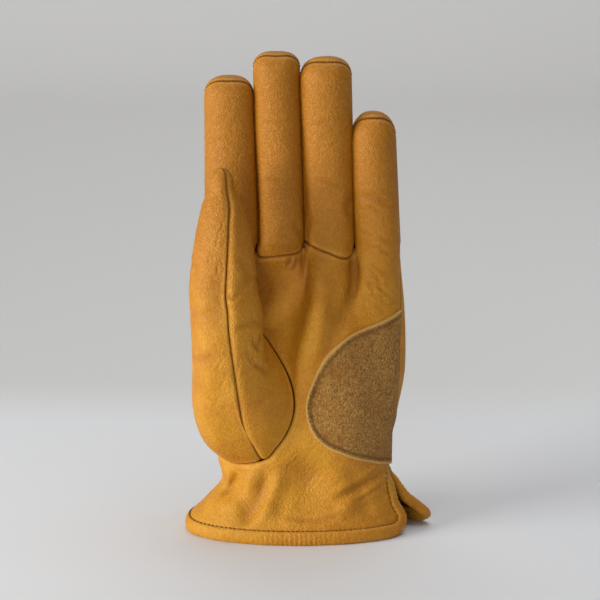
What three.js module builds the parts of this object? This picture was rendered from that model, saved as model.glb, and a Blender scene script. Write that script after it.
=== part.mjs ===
// A left-hand leather work glove, standing on its open cuff with its palm towards -Y.
//
// It is a hollow shell of cut leather pieces, each a wall of constant thickness:
//   back            the whole back of the hand with the backs of the four fingers, lapped over the tips
//   palm            the palm with the fronts of the index and little fingers, and a hole for the thumb
//   middle_front,   the fronts of the two middle fingers, sewn across their roots
//   ring_front
//   thumb           one piece rolled into a tube, with a single seam up its front
//   heel_patch      a suede patch that lies on the heel of the palm
//   hem_binding     a folded strip round the cuff's edge and up both sides of its vent
//
// Every piece is an outline in a flat pattern, laid on one common body form. A pattern place is (q, v):
// q counts finger strips across the hand, from 0 on the thumb side to 4 on the other, and v is the height
// along the hand. Millimetres throughout, +X towards the little finger, +Y towards the back of the hand.
import * as THREE from "three";

// Driving dimensions
const LEATHER = 1.2; // thickness of every piece
const SEAM_GAP = 0.4; // between two pieces that are sewn edge to edge
const CROTCH = 146; // height at which the fingers part
const ROOT = 98; // below this height the palm shows no trace of the fingers
const STRIP = 36; // width of one finger's strip in the flat pattern
const HEM_EDGE = 1.6; // height of the panels' lower edge, inside the binding
const HEM_TOP = 6; // height of the binding
const LIP = 5; // how far the binding covers the panels
const LIP_HEIGHT = HEM_EDGE + LIP;
const VENT_TOP = 34; // height of the vent on the little finger's side
const TIP_LAP = 1 / 3; // how far the back laps over a fingertip, as a share of a quarter turn

// Panel mesh sizes
const EDGE_STEP = 5.2;
const GRID_STEP = 8;

const clamp = THREE.MathUtils.clamp;
const lerp = THREE.MathUtils.lerp;
const smooth = (x, from, to) => {
  const t = clamp((x - from) / (to - from), 0, 1);
  return t * t * (3 - 2 * t);
};

// A curve through [place, value] pairs that never overshoots them.
function profile(...keys) {
  const rise = (i) => (keys[i + 1][1] - keys[i][1]) / (keys[i + 1][0] - keys[i][0]);
  const slopes = keys.map((_, i) => {
    if (i === 0 || i === keys.length - 1) return 0;
    const [before, after] = [rise(i - 1), rise(i)];
    return before * after > 0 ? (2 * before * after) / (before + after) : 0;
  });
  return (place) => {
    let i = 0;
    while (i < keys.length - 2 && place > keys[i + 1][0]) i++;
    const span = keys[i + 1][0] - keys[i][0];
    const t = clamp((place - keys[i][0]) / span, 0, 1);
    const [t2, t3] = [t * t, t * t * t];
    return (
      (2 * t3 - 3 * t2 + 1) * keys[i][1] +
      (t3 - 2 * t2 + t) * span * slopes[i] +
      (3 * t2 - 2 * t3) * keys[i + 1][1] +
      (t3 - t2) * span * slopes[i + 1]
    );
  };
}

// ---- The body form: hand and cuff ----

const LEFT = profile([HEM_TOP, -55], [14, -48], [26, -38.6], [38, -41.5], [60, -42], [95, -44], [CROTCH, -46.2]);
const RIGHT = profile([HEM_TOP, 53], [16, 48], [30, 44.6], [48, 44.8], [62, 48.5], [85, 51.6], [115, 50.8], [CROTCH, 48.8]);
const FRONT = profile([HEM_TOP, -31], [26, -25.5], [55, -27], [90, -24], [CROTCH, -14]);
const BACK = profile([HEM_TOP, 25], [28, 21], [60, 22], [100, 20], [CROTCH, 12.5]);
const SIDE_Y = profile([HEM_TOP, -4], [26, -2], [60, 0], [CROTCH, 0]);
const FINGER_Y = profile([CROTCH, 0], [195, -3], [240, -8]);
const FINGER_DEPTH = profile([CROTCH, 12.6], [240, 11]);
const ROUNDNESS = 0.86; // below 1 makes the sections fuller than an ellipse
const FINGER_GAP = 0.8; // clear width between two fingers, once past the crotch

// Each finger's sides at its root and where its tip starts to round, and its tip.
const FINGERS = [
  { name: "index", left: [-46.2, -45.6], right: [-20.2, -22.2], top: 228, cap: 11, square: 2.4 },
  { name: "middle", left: [-20.2, -22.2], right: [2, -0.1], top: 240, cap: 10.5, square: 2.8 },
  { name: "ring", left: [2, 0.1], right: [26.6, 24.5], top: 237.2, cap: 11.5, square: 2.5 },
  { name: "little", left: [26.6, 25], right: [48.8, 46], top: 210.2, cap: 14, square: 2.2 },
];

// Soft forms of the palm, each a smooth bump (out > 0) or hollow (out < 0).
const RELIEF = [
  { x: -14, z: 114, across: 11, along: 22, tilt: 0, out: -6 }, // the hollow behind the thumb
  { x: 3, z: 108, across: 7, along: 36, tilt: 14, out: 2.6 }, // fold from the fingers to the thumb's root
  { x: 29, z: 124, across: 5, along: 18, tilt: 4, out: -2 }, // between the ring and little fingers
  { x: 39, z: 131, across: 8, along: 14, tilt: 0, out: 1.6 }, // pad under the little finger
  { x: 26, z: 70, across: 20, along: 26, tilt: 0, out: 2.5 }, // heel
  { x: -30, z: 21, across: 6, along: 9, tilt: -25, out: -2 }, // gathers at the wrist
  { x: -19, z: 22, across: 5, along: 12, tilt: -15, out: 1.6 },
  { x: 30, z: 22, across: 14, along: 4, tilt: 70, out: -1.4 },
];

// How far the vent's back edge stands away from the hand: outwards by height, and the share of that it
// goes back.
const FLAP_OUT = profile([4, 12.5], [10, 9], [17, 4.4], [VENT_TOP, 0]);
const FLAP_BACK = 0.1;

function relief(x, z) {
  let sum = 0;
  for (const form of RELIEF) {
    const turn = THREE.MathUtils.degToRad(form.tilt);
    const [dx, dz] = [x - form.x, z - form.z];
    const across = (dx * Math.cos(turn) - dz * Math.sin(turn)) / form.across;
    const along = (dx * Math.sin(turn) + dz * Math.cos(turn)) / form.along;
    sum += form.out * Math.exp(-across * across - along * along);
  }
  return sum * smooth(z, HEM_TOP, HEM_TOP + 10);
}

const power = (value, exponent) => Math.sign(value) * Math.abs(value) ** exponent;

function fingerSides(finger, z) {
  const t = clamp((z - CROTCH) / (finger.top - finger.cap - CROTCH), 0, 1);
  const gap = (FINGER_GAP / 2) * smooth(z, CROTCH - 4, CROTCH + 8);
  return [lerp(...finger.left, t) + gap, lerp(...finger.right, t) - gap];
}

// A place on a finger. side is -1 on the palm side and 1 on the back.
function fingerPoint(side, i, q, v) {
  const finger = FINGERS[i];
  const shoulder = finger.top - finger.cap;
  const across = 2 * (q - i) - 1;
  const along = Math.max(0, (v - shoulder) / (STRIP / 2));
  const turn = Math.hypot(across, along);
  const angle = (turn * Math.PI) / 2;
  const [cos, sin] = turn > 0 ? [across / turn, along / turn] : [1, 0];
  const reach = (Math.abs(cos) ** finger.square + sin ** finger.square) ** (-1 / finger.square) * Math.sin(angle);
  const z = Math.min(v, shoulder) + finger.cap * reach * sin;
  const [left, right] = fingerSides(finger, z);
  const x = (left + right) / 2 + ((right - left) / 2) * reach * cos;
  const y = FINGER_Y(z) + side * FINGER_DEPTH(z) * power(Math.cos(angle), ROUNDNESS);
  return new THREE.Vector3(x, y, z);
}

// A place on the hand below the fingers.
function handPoint(side, q, z) {
  const t = q / 2 - 1;
  const angle = (Math.PI / 2) * t - 0.25 * Math.sin(Math.PI * t);
  const facing = side * Math.cos(angle);
  const depth = facing > 0 ? BACK(z) - SIDE_Y(z) : SIDE_Y(z) - FRONT(z);
  const x = (LEFT(z) + RIGHT(z)) / 2 + ((RIGHT(z) - LEFT(z)) / 2) * Math.sin(angle);
  let y = SIDE_Y(z) + depth * power(facing, ROUNDNESS);
  if (facing < 0) y -= relief(x, z) * smooth(-facing, 0, 0.5);
  const flap = side > 0 ? clamp((q - 2.8) / 1.2, 0, 1.1) ** 1.6 * FLAP_OUT(z) : 0;
  return new THREE.Vector3(x + flap, y + FLAP_BACK * flap, z);
}

function bodyPoint(side, q, v) {
  const below = clamp((CROTCH - v) / (CROTCH - ROOT), 0, 1);
  const parted = 1 - Math.sin((Math.PI / 2) * Math.sqrt(below));
  const onFinger = fingerPoint(side, clamp(Math.floor(q), 0, 3), q, v);
  return parted < 1 ? handPoint(side, q, v).lerp(onFinger, parted) : onFinger;
}

// A surface: a map from a pattern place to a point, with the outward direction there.
function surface(point, outward) {
  const dv = 0.05;
  const normal = (q, v) => {
    const dq = v < CROTCH ? 0.02 : 0.002;
    const along = point(q, v + dv).sub(point(q, v - dv));
    return point(q + dq, v).sub(point(q - dq, v)).cross(along).multiplyScalar(outward).normalize();
  };
  return { point, normal };
}

const FRONT_SIDE = surface((q, v) => bodyPoint(-1, q, v), 1);
const BACK_SIDE = surface((q, v) => bodyPoint(1, q, v), -1);

// ---- Seams, as pattern curves. q is counted on the palm side, and runs on round the edge of the hand. ----

const THUMB_SIDE_SEAM = profile([0, -0.35], [60, -0.45], [110, -0.35], [150, 0]);
const LITTLE_SIDE_SEAM = profile(
  [VENT_TOP, 4], [45, 4], [55, 3.9], [65, 3.77], [78, 3.7], [92, 3.7], [106, 3.75], [122, 3.87], [150, 4],
);
const VENT_FRONT = profile([0, 3.8], [20, 3.86], [30, 3.91], [VENT_TOP, 4]);
const VENT_BACK = profile([0, 4], [20, 4.03], [30, 4.07], [VENT_TOP, 4]);
const BACK_EDGE = (v) => 8 - VENT_BACK(v); // the same, counted on the back
const CORNER = 10; // radius of the cuff's corners at the vent
const ROOT_SEAM = [[1, 147], [1, 142.5], [1.04, 140], [1.14, 139], [1.5, 140], [1.88, 141.8], [1.965, 143.2],
  [2, 145.2], [2.1, 146.2], [2.5, 143], [2.85, 139.4], [2.96, 140.2], [3, 142.8], [3, 147]];
const PATCH_EDGE = [[3.73, 113], [3.4, 109.5], [2.85, 103.5], [2.42, 94.5], [2.1, 83], [1.95, 71], [2.08, 60],
  [2.45, 51.5], [2.9, 45], [3.35, 39], [3.93, 33.5]];
// The hole for the thumb: the first point is where the thumb's own seam ends, and the rest go round
// by the little finger's side, each a twelfth of a turn on.
const THUMB_HOLE = [[1.06, 40.8], [1.32, 47.5], [1.54, 56.5], [1.66, 69], [1.56, 82], [1.25, 96], [0.82, 108],
  [0.32, 107], [-0.05, 92], [-0.18, 72], [-0.12, 51.5], [0.42, 38.4]];

const spline = (points, closed = false) =>
  new THREE.CatmullRomCurve3(points.map(([q, v]) => new THREE.Vector3(q * STRIP, v, 0)), closed, "centripetal");
const thumbHole = new THREE.CatmullRomCurve3(
  THUMB_HOLE.map(([q, v]) => new THREE.Vector3(q * STRIP, v, 0)), true, "catmullrom", 0.5,
);

// Pattern points in millimetres, evenly spaced along a curve, without its last point.
function spaced(curve, step) {
  const count = Math.max(2, Math.round(curve.getLength() / step));
  return curve.getSpacedPoints(count).slice(0, -1).map((p) => [p.x, p.y]);
}

// The seam over a fingertip, from the little finger's side to the thumb's side.
function tipSeam(i, lap) {
  const shoulder = FINGERS[i].top - FINGERS[i].cap;
  const points = [];
  for (let k = 0; k <= 8; k++) {
    const angle = (Math.PI * k) / 8;
    const reach = (STRIP / 2) * (1 + lap * Math.sin(angle) ** 2);
    points.push([(i + 0.5) * STRIP + reach * Math.cos(angle), shoulder + reach * Math.sin(angle)]);
  }
  return points;
}

// Points up (or down) a seam whose q depends on the height, without the last. Their heights are whole
// steps, so that the points of two edges that meet lie side by side.
function upSeam(seam, from, to) {
  const heights = [from];
  const margin = 0.4 * EDGE_STEP;
  const [low, high] = [Math.min(from, to) + margin, Math.max(from, to) - margin];
  const steps = [];
  for (let k = Math.ceil(low / EDGE_STEP); k * EDGE_STEP <= high; k++) steps.push(k * EDGE_STEP);
  heights.push(...(from < to ? steps : steps.reverse()));
  return heights.map((v) => [seam(v) * STRIP, v]);
}

// The round corner of the cuff at the vent, between the hem and a vent edge.
function ventCorner(edge, turn) {
  const middle = [edge(HEM_EDGE + CORNER) * STRIP - turn * CORNER, HEM_EDGE + CORNER];
  return Array.from({ length: 4 }, (_, k) => {
    const angle = (-Math.PI / 2) * (1 - k / 3);
    return [middle[0] + turn * CORNER * Math.cos(angle), middle[1] + CORNER * Math.sin(angle)];
  });
}

// Points along the hem between two places, without the last.
function alongHem(from, to) {
  const count = Math.round(Math.abs(to - from) / EDGE_STEP);
  return Array.from({ length: count }, (_, k) => [lerp(from, to, k / count), HEM_EDGE]);
}

const shoulderOf = (i) => FINGERS[i].top - FINGERS[i].cap;
const rootSeam = spaced(spline(ROOT_SEAM), 0.65 * EDGE_STEP);

function palmOutline() {
  const corner = ventCorner(VENT_FRONT, 1);
  return [
    ...alongHem(THUMB_SIDE_SEAM(HEM_EDGE) * STRIP, corner[0][0]),
    ...corner.slice(0, 3),
    ...upSeam(VENT_FRONT, HEM_EDGE + CORNER, VENT_TOP),
    ...upSeam(LITTLE_SIDE_SEAM, VENT_TOP, shoulderOf(3)),
    ...tipSeam(3, -TIP_LAP).slice(0, -1),
    ...upSeam(() => 3, shoulderOf(3), 147),
    [3 * STRIP, 147],
    ...rootSeam.slice(1).reverse(),
    ...upSeam(() => 1, 147, shoulderOf(0)),
    ...tipSeam(0, -TIP_LAP).slice(0, -1),
    ...upSeam(THUMB_SIDE_SEAM, shoulderOf(0), LIP_HEIGHT),
    [THUMB_SIDE_SEAM(LIP_HEIGHT) * STRIP, LIP_HEIGHT],
  ];
}

function backOutline() {
  const corner = ventCorner(BACK_EDGE, 1);
  const fingers = [3, 2, 1, 0].flatMap((i) => [
    ...tipSeam(i, TIP_LAP).slice(0, -1),
    ...(i > 0 ? [...upSeam(() => i, shoulderOf(i), CROTCH), ...upSeam(() => i, CROTCH, shoulderOf(i - 1))] : []),
  ]);
  return [
    ...alongHem(-THUMB_SIDE_SEAM(HEM_EDGE) * STRIP, corner[0][0]),
    ...corner.slice(0, 3),
    ...upSeam(BACK_EDGE, HEM_EDGE + CORNER, VENT_TOP),
    ...upSeam((v) => 8 - LITTLE_SIDE_SEAM(v), VENT_TOP, shoulderOf(3)),
    ...fingers,
    ...upSeam((v) => -THUMB_SIDE_SEAM(v), shoulderOf(0), LIP_HEIGHT),
    [-THUMB_SIDE_SEAM(LIP_HEIGHT) * STRIP, LIP_HEIGHT],
  ];
}

// The front of a middle finger: i is 1 or 2.
function frontOutline(i) {
  const low = rootSeam.filter(([p]) => p > i * STRIP + 0.01 && p < (i + 1) * STRIP - 0.01);
  const root = { 1: [[STRIP, 147], ...low, [2 * STRIP, 145.2]], 2: [[2 * STRIP, 145.2], ...low, [3 * STRIP, 147]] }[i];
  const [from, to] = [root.at(-1)[1], root[0][1]];
  return [
    ...root.slice(0, -1),
    ...upSeam(() => i + 1, from, shoulderOf(i)),
    ...tipSeam(i, -TIP_LAP).slice(0, -1),
    ...upSeam(() => i, shoulderOf(i), to),
  ];
}

// ---- Panels ----

// The outline moved in by a distance, so that two pieces sewn together stay apart.
function inset(outline, distance) {
  const n = outline.length;
  return outline.map(([x, y], k) => {
    const [px, py] = outline[(k + n - 1) % n];
    const [nx, ny] = outline[(k + 1) % n];
    const before = new THREE.Vector2(-(y - py), x - px).normalize();
    const after = new THREE.Vector2(-(ny - y), nx - x).normalize();
    const way = before.clone().add(after);
    if (way.length() < 0.2) return [x, y - 2 * distance]; // the foot of a slit between two fingers
    way.normalize().multiplyScalar(distance / Math.max(0.5, way.dot(before)));
    return [x + way.x, y + way.y];
  });
}

function contains(outline, x, y) {
  let inside = false;
  outline.forEach(([ax, ay], k) => {
    const [bx, by] = outline[(k + 1) % outline.length];
    if (ay > y !== by > y && x < ((bx - ax) * (y - ay)) / (by - ay) + ax) inside = !inside;
  });
  return inside;
}

// How near a place is to a line of points.
function nearest(line, x, y) {
  let best = Infinity;
  line.forEach(([ax, ay], k) => {
    const [bx, by] = line[Math.min(k + 1, line.length - 1)];
    const [dx, dy] = [bx - ax, by - ay];
    const t = clamp(((x - ax) * dx + (y - ay) * dy) / (dx * dx + dy * dy || 1), 0, 1);
    best = Math.min(best, Math.hypot(x - ax - t * dx, y - ay - t * dy));
  });
  return best;
}

// Delaunay triangles of the points, by adding one point at a time.
function delaunay(points) {
  const far = 1e4;
  const all = [...points, [-far, -far], [far, -far], [0, far]];
  const circle = (a, b, c) => {
    const [[ax, ay], [bx, by], [cx, cy]] = [all[a], all[b], all[c]];
    const d = 2 * (ax * (by - cy) + bx * (cy - ay) + cx * (ay - by));
    const [a2, b2, c2] = [ax * ax + ay * ay, bx * bx + by * by, cx * cx + cy * cy];
    const x = (a2 * (by - cy) + b2 * (cy - ay) + c2 * (ay - by)) / d;
    const y = (a2 * (cx - bx) + b2 * (ax - cx) + c2 * (bx - ax)) / d;
    return { corners: [a, b, c], x, y, r2: (ax - x) ** 2 + (ay - y) ** 2 };
  };
  const n = points.length;
  let triangles = [circle(n, n + 1, n + 2)];
  points.forEach(([x, y], k) => {
    const edges = new Map();
    triangles = triangles.filter((t) => {
      if ((x - t.x) ** 2 + (y - t.y) ** 2 > t.r2) return true;
      t.corners.forEach((a, j) => {
        const b = t.corners[(j + 1) % 3];
        if (!edges.delete(`${b},${a}`)) edges.set(`${a},${b}`, [a, b]);
      });
      return false;
    });
    for (const [a, b] of edges.values()) triangles.push(circle(a, b, k));
  });
  return triangles.map((t) => t.corners).filter((t) => Math.max(...t) < n);
}

// The pattern with its fingers fanned out, so that no triangle can bridge the slit between two of them.
function fan([x, y]) {
  const finger = clamp(Math.floor(x / STRIP), 0, 3);
  return [x + (finger - 1.5) * 0.15 * Math.max(0, y - CROTCH), y];
}

const centre = (points, face) => [0, 1].map((axis) => face.reduce((sum, k) => sum + points[k][axis] / 3, 0));

function area(points, face) {
  const [[ax, ay], [bx, by], [cx, cy]] = face.map((k) => points[k]);
  return ((bx - ax) * (cy - ay) - (by - ay) * (cx - ax)) / 2;
}

// The flat mesh of a panel: its outline, its holes and the lines marked on it, with an even grid between.
function flatMesh(outline, holes = [], lines = []) {
  const points = [outline, ...holes, ...lines].flat();
  const keepClear = [...[outline, ...holes].map((ring) => [...ring, ring[0]]), ...lines];
  const columns = outline.map(([x]) => x);
  const rows = outline.map(([, y]) => y);
  const rowStep = GRID_STEP * Math.sqrt(0.75);
  for (let row = 0, y = Math.min(...rows); y < Math.max(...rows); row++, y += rowStep) {
    for (let x = Math.min(...columns) + (row % 2) * (GRID_STEP / 2); x < Math.max(...columns); x += GRID_STEP) {
      const free = keepClear.every((line) => nearest(line, x, y) > 0.55 * GRID_STEP);
      if (free && contains(outline, x, y) && !holes.some((hole) => contains(hole, x, y))) points.push([x, y]);
    }
  }
  const fanned = points.map(fan);
  const edge = outline.map(fan);
  const gaps = holes.map((hole) => hole.map(fan));
  // A hair's breadth of unevenness keeps four points off one circle.
  const uneven = fanned.map(([x, y], k) => [x + 1e-4 * Math.sin(7 * k), y + 1e-4 * Math.cos(11 * k)]);
  const faces = delaunay(uneven).filter((face) => {
    const [x, y] = centre(fanned, face);
    return area(fanned, face) > 0.01 && contains(edge, x, y) && !gaps.some((gap) => contains(gap, x, y));
  });
  return { points, faces };
}

// Only the points that a face uses stay.
function compact({ points, faces }) {
  const used = [...new Set(faces.flat())];
  const place = new Map(used.map((k, n) => [k, n]));
  return { points: used.map((k) => points[k]), faces: faces.map((face) => face.map((k) => place.get(k))) };
}

// A closed wall from faces over outer and inner points, with a rim along every free edge.
function wall(outer, inner, faces) {
  const n = outer.length;
  const index = [];
  const free = new Map();
  for (const [a, b, c] of faces) {
    index.push(a, b, c, n + a, n + c, n + b);
    for (const [from, to] of [[a, b], [b, c], [c, a]]) {
      if (!free.delete(`${to},${from}`)) free.set(`${from},${to}`, [from, to]);
    }
  }
  for (const [from, to] of free.values()) index.push(from, n + from, n + to, from, n + to, to);
  const geometry = new THREE.BufferGeometry().setFromPoints([...outer, ...inner]);
  return geometry.setIndex(index);
}

// A flat mesh laid on a surface as a wall. lift is how far its inner face stands off the surface.
function laid({ points, faces }, { point, normal }, mirrored, lift = -LEATHER) {
  const places = points.map(([x, y]) => [x / STRIP, y]);
  const at = places.map(([q, v]) => point(q, v));
  const normals = places.map(([q, v]) => normal(q, v));
  const moved = (by) => at.map((p, k) => p.clone().addScaledVector(normals[k], by));
  const turned = mirrored ? faces.map(([a, b, c]) => [a, c, b]) : faces;
  return wall(moved(lift + LEATHER), moved(lift), turned);
}

// ---- Thumb ----

const THUMB_BASE = 120; // height of the first level ring
const THUMB_TOP = 188.5;
const THUMB_CAP = 8;
const THUMB_X = profile([THUMB_BASE, -35.2], [131, -36.4], [157, -36.1], [THUMB_TOP, -37.2]);
const THUMB_Y = profile([THUMB_BASE, -36], [160, -37], [THUMB_TOP, -34]);
const THUMB_WIDTH = profile(
  [THUMB_BASE, 17.2], [131, 16.1], [144, 14.9], [157, 13], [171, 9.5], [THUMB_TOP - THUMB_CAP, 5.8],
);
const THUMB_DEPTH = profile([THUMB_BASE, 14.2], [150, 12.6], [168, 9.8], [THUMB_TOP - THUMB_CAP, 6.6]);
// How steeply the thumb leaves the palm round its root, in degrees, from the seam and round as above.
const THUMB_RISE = profile([0, 44], [0.25, 62], [0.5, 85], [0.7, 6], [0.8, 10], [0.9, 62], [1, 44]);

const turnOf = (share) => 2 * Math.PI * share;

// A level ring of the thumb, share going round from the seam in front.
function thumbRing(share, z, scale = 1, lift = 0) {
  return new THREE.Vector3(
    THUMB_X(z) + THUMB_WIDTH(z) * scale * Math.sin(turnOf(share)),
    THUMB_Y(z) - THUMB_DEPTH(z) * scale * Math.cos(turnOf(share)),
    z + lift,
  );
}

// The thumb's root, from the hole in the palm to the first level ring.
function thumbLine(share, t) {
  const hole = thumbHole.getPoint(((share % 1) + 1) % 1);
  const ahead = thumbHole.getPoint((((share + 0.002) % 1) + 1) % 1);
  const start = FRONT_SIDE.point(hole.x / STRIP, hole.y);
  const normal = FRONT_SIDE.normal(hole.x / STRIP, hole.y);
  const tangent = FRONT_SIDE.point(ahead.x / STRIP, ahead.y).sub(start).normalize();
  const inward = normal.clone().cross(tangent).normalize();
  const rise = THREE.MathUtils.degToRad(THUMB_RISE(((share % 1) + 1) % 1));
  const end = thumbRing(share, THUMB_BASE);
  const length = start.distanceTo(end);
  start.addScaledVector(inward, SEAM_GAP);
  const leave = normal.multiplyScalar(Math.sin(rise) * length).addScaledVector(inward, Math.cos(rise) * length);
  const arrive = new THREE.Vector3(0, 0, length);
  const [t2, t3] = [t * t, t * t * t];
  return start
    .multiplyScalar(2 * t3 - 3 * t2 + 1)
    .addScaledVector(leave, t3 - 2 * t2 + t)
    .addScaledVector(end, 3 * t2 - 2 * t3)
    .addScaledVector(arrive, t3 - t2);
}

// The same lines, each blended with its neighbours where the hole turns sharply at its lower left.
function thumbRoot(share, t) {
  const { smoothstep } = THREE.MathUtils;
  const ease = smoothstep(share, 0.66, 0.76) * (1 - smoothstep(share, 0.87, 0.95)) * smoothstep(t, 0, 0.12);
  const total = new THREE.Vector3();
  for (const [step, weight] of [[-1, 1], [-0.5, 4], [0, 6], [0.5, 4], [1, 1]]) {
    total.addScaledVector(thumbLine(share + step * 0.04 * ease, t), weight / 16);
  }
  return total;
}

const ROOT_END = 0.55; // share of the thumb's length that is its root
const TIP_START = 0.88;
const SEAM_DRIFT = profile(
  [0, 0], [0.26, 0.05], [ROOT_END, 0.013], [0.66, 0.02], [0.77, 0.036], [TIP_START, 0.09], [1, 0.1],
);

// A place on the thumb: share round it, and t from its root (0) to its tip (1).
function thumbPoint(fromSeam, t) {
  const share = fromSeam + SEAM_DRIFT(t);
  if (t < ROOT_END) return thumbRoot(share, t / ROOT_END);
  const shoulder = THUMB_TOP - THUMB_CAP;
  if (t < TIP_START) return thumbRing(share, lerp(THUMB_BASE, shoulder, (t - ROOT_END) / (TIP_START - ROOT_END)));
  const angle = ((t - TIP_START) / (1 - TIP_START)) * (Math.PI / 2);
  return thumbRing(share, shoulder, Math.cos(angle), THUMB_CAP * Math.sin(angle));
}

const THUMB_FORM = surface(thumbPoint, 1);

function thumbGeometry() {
  const [columns, rows] = [26, 19];
  const slit = SEAM_GAP / 2 / 80; // half the seam's gap, as a share of the way round
  const outer = [];
  const inner = [];
  const faces = [];
  for (let row = 0; row < rows; row++) {
    const t = (row / (rows - 1)) * 0.985;
    for (let column = 0; column <= columns; column++) {
      const share = lerp(slit * (1 + 2 * t), 1 - slit * (1 + 2 * t), column / columns);
      const point = thumbPoint(share, t);
      const ahead = thumbPoint(share, t + 0.004);
      const behind = thumbPoint(share, Math.max(0, t - 0.004));
      const round = thumbPoint(share + 0.004, t).sub(thumbPoint(share - 0.004, t));
      const normal = round.cross(ahead.sub(behind)).normalize();
      outer.push(point);
      inner.push(point.clone().addScaledVector(normal, -LEATHER));
      if (row && column) {
        const k = outer.length - 1;
        const below = k - columns - 1;
        faces.push([below - 1, below, k], [below - 1, k, k - 1]);
      }
    }
  }
  // The tip closes on one point.
  const first = outer.length - columns - 1;
  outer.push(thumbPoint(0, 1));
  inner.push(thumbPoint(0, 1).add(new THREE.Vector3(0, 0, -LEATHER)));
  const tip = outer.length - 1;
  for (let column = 0; column < columns; column++) faces.push([first + column, first + column + 1, tip]);
  return wall(outer, inner, faces);
}

// ---- Hem binding ----

const BINDING = 1.2; // the strip's thickness
const SLOT = 0.45; // its clearance from the panels
const BINDING_END = 26; // height of its two ends, just under the top of the vent
// Its section round a panel's edge: how far out from the panel's outer face, whether at the panel's edge (0)
// or at the lip (1), and how far in from there.
const BINDING_SECTION = [
  [SLOT, 0, -SLOT],
  [SLOT, 1, 0],
  [SLOT + BINDING / 2, 1, 0.2],
  [SLOT + BINDING, 1, -0.4],
  [SLOT + BINDING, 0, -0.3],
  [SLOT + BINDING / 2, 0, -HEM_EDGE],
  [-LEATHER - SLOT - BINDING / 2, 0, -HEM_EDGE],
  [-LEATHER - SLOT - BINDING, 0, -0.3],
  [-LEATHER - SLOT - BINDING, 1, -0.4],
  [-LEATHER - SLOT - BINDING / 2, 1, 0.2],
  [-LEATHER - SLOT, 1, 0],
  [-LEATHER - SLOT, 0, -SLOT],
];

// The cuff's edge as pattern places, from a height on the vent's front edge, down it and along the hem to
// the thumb side's seam.
function frontCuff(top) {
  return [
    ...upSeam(VENT_FRONT, top, HEM_EDGE + CORNER),
    ...ventCorner(VENT_FRONT, 1).reverse(),
    ...alongHem(THUMB_SIDE_SEAM(HEM_EDGE) * STRIP, ventCorner(VENT_FRONT, 1)[0][0]).reverse(),
  ];
}

// From the thumb side's seam along the hem, and up the vent's back edge.
function backCuff(top) {
  const corner = ventCorner(BACK_EDGE, 1);
  return [
    ...alongHem(-THUMB_SIDE_SEAM(HEM_EDGE) * STRIP, corner[0][0]),
    ...corner,
    ...upSeam(BACK_EDGE, HEM_EDGE + CORNER, top).slice(1),
    [BACK_EDGE(top) * STRIP, top],
  ];
}

// The line where the binding's lip ends. turn is 1 where the panel is on the left of the way along the edge.
// It lags a little, so that the panel's facets and the binding's are split along the same diagonals.
const LAG = 0.8;
function lipLine(edge, turn) {
  return edge.map(([x, y], k) => {
    const [ax, ay] = edge[Math.max(k - 1, 0)];
    const [bx, by] = edge[Math.min(k + 1, edge.length - 1)];
    const length = Math.hypot(bx - ax, by - ay);
    const [dx, dy] = [(bx - ax) / length, (by - ay) / length];
    return [x - turn * LIP * dy - LAG * dx, y + turn * LIP * dx - LAG * dy];
  });
}

function bindingGeometry() {
  const edges = [[FRONT_SIDE, frontCuff(BINDING_END), -1], [BACK_SIDE, backCuff(BINDING_END), 1]];
  const stations = edges.flatMap(([side, edge, turn]) => {
    const lip = lipLine(edge, turn);
    const frame = ([p, v]) => ({ at: side.point(p / STRIP, v), out: side.normal(p / STRIP, v) });
    return edge.map((place, k) => ({ ends: [frame(place), frame(lip[k])], onHem: place[1] === HEM_EDGE }));
  });
  const points = [];
  const index = [];
  const count = BINDING_SECTION.length;
  stations.forEach(({ ends, onHem }, k) => {
    const inward = ends[1].at.clone().sub(ends[0].at).normalize();
    for (const [out, end, along] of BINDING_SECTION) {
      const corner = ends[end].at.clone().addScaledVector(ends[end].out, out).addScaledVector(inward, along);
      if (onHem && along === -HEM_EDGE) corner.z = 0; // the flat underside that the glove stands on
      points.push(corner);
    }
    if (!k) return;
    for (let j = 0; j < count; j++) {
      const [a, b] = [(k - 1) * count + j, (k - 1) * count + ((j + 1) % count)];
      const outside = j < count / 2;
      const split = outside ? [a, b + count, b, a, a + count, b + count] : [a, a + count, b, a + count, b + count, b];
      index.push(...split);
    }
  });
  // Each end is closed by two fans, from the two corners at the foot of the slot.
  const foot = count - 1;
  const last = (stations.length - 1) * count;
  const fans = [[0, 1, 2], [0, 2, 3], [0, 3, 4], [0, 4, 5], [0, 5, 6], [0, 6, foot]];
  for (let j = 6; j < foot - 1; j++) fans.push([foot, j, j + 1]);
  for (const [a, b, c] of fans) index.push(a, b, c, last + a, last + c, last + b);
  return new THREE.BufferGeometry().setFromPoints(points).setIndex(index);
}

// ---- Assembly ----

const leather = new THREE.MeshStandardMaterial({ color: 0xc8893a, roughness: 0.55, metalness: 0 });
const suede = new THREE.MeshStandardMaterial({ color: 0x9c7444, roughness: 0.95, metalness: 0 });

const glove = new THREE.Group();
glove.name = "work_glove";

function addPiece(name, geometry, material) {
  const mesh = new THREE.Mesh(geometry, material.clone());
  mesh.name = name;
  glove.add(mesh);
}

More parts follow.
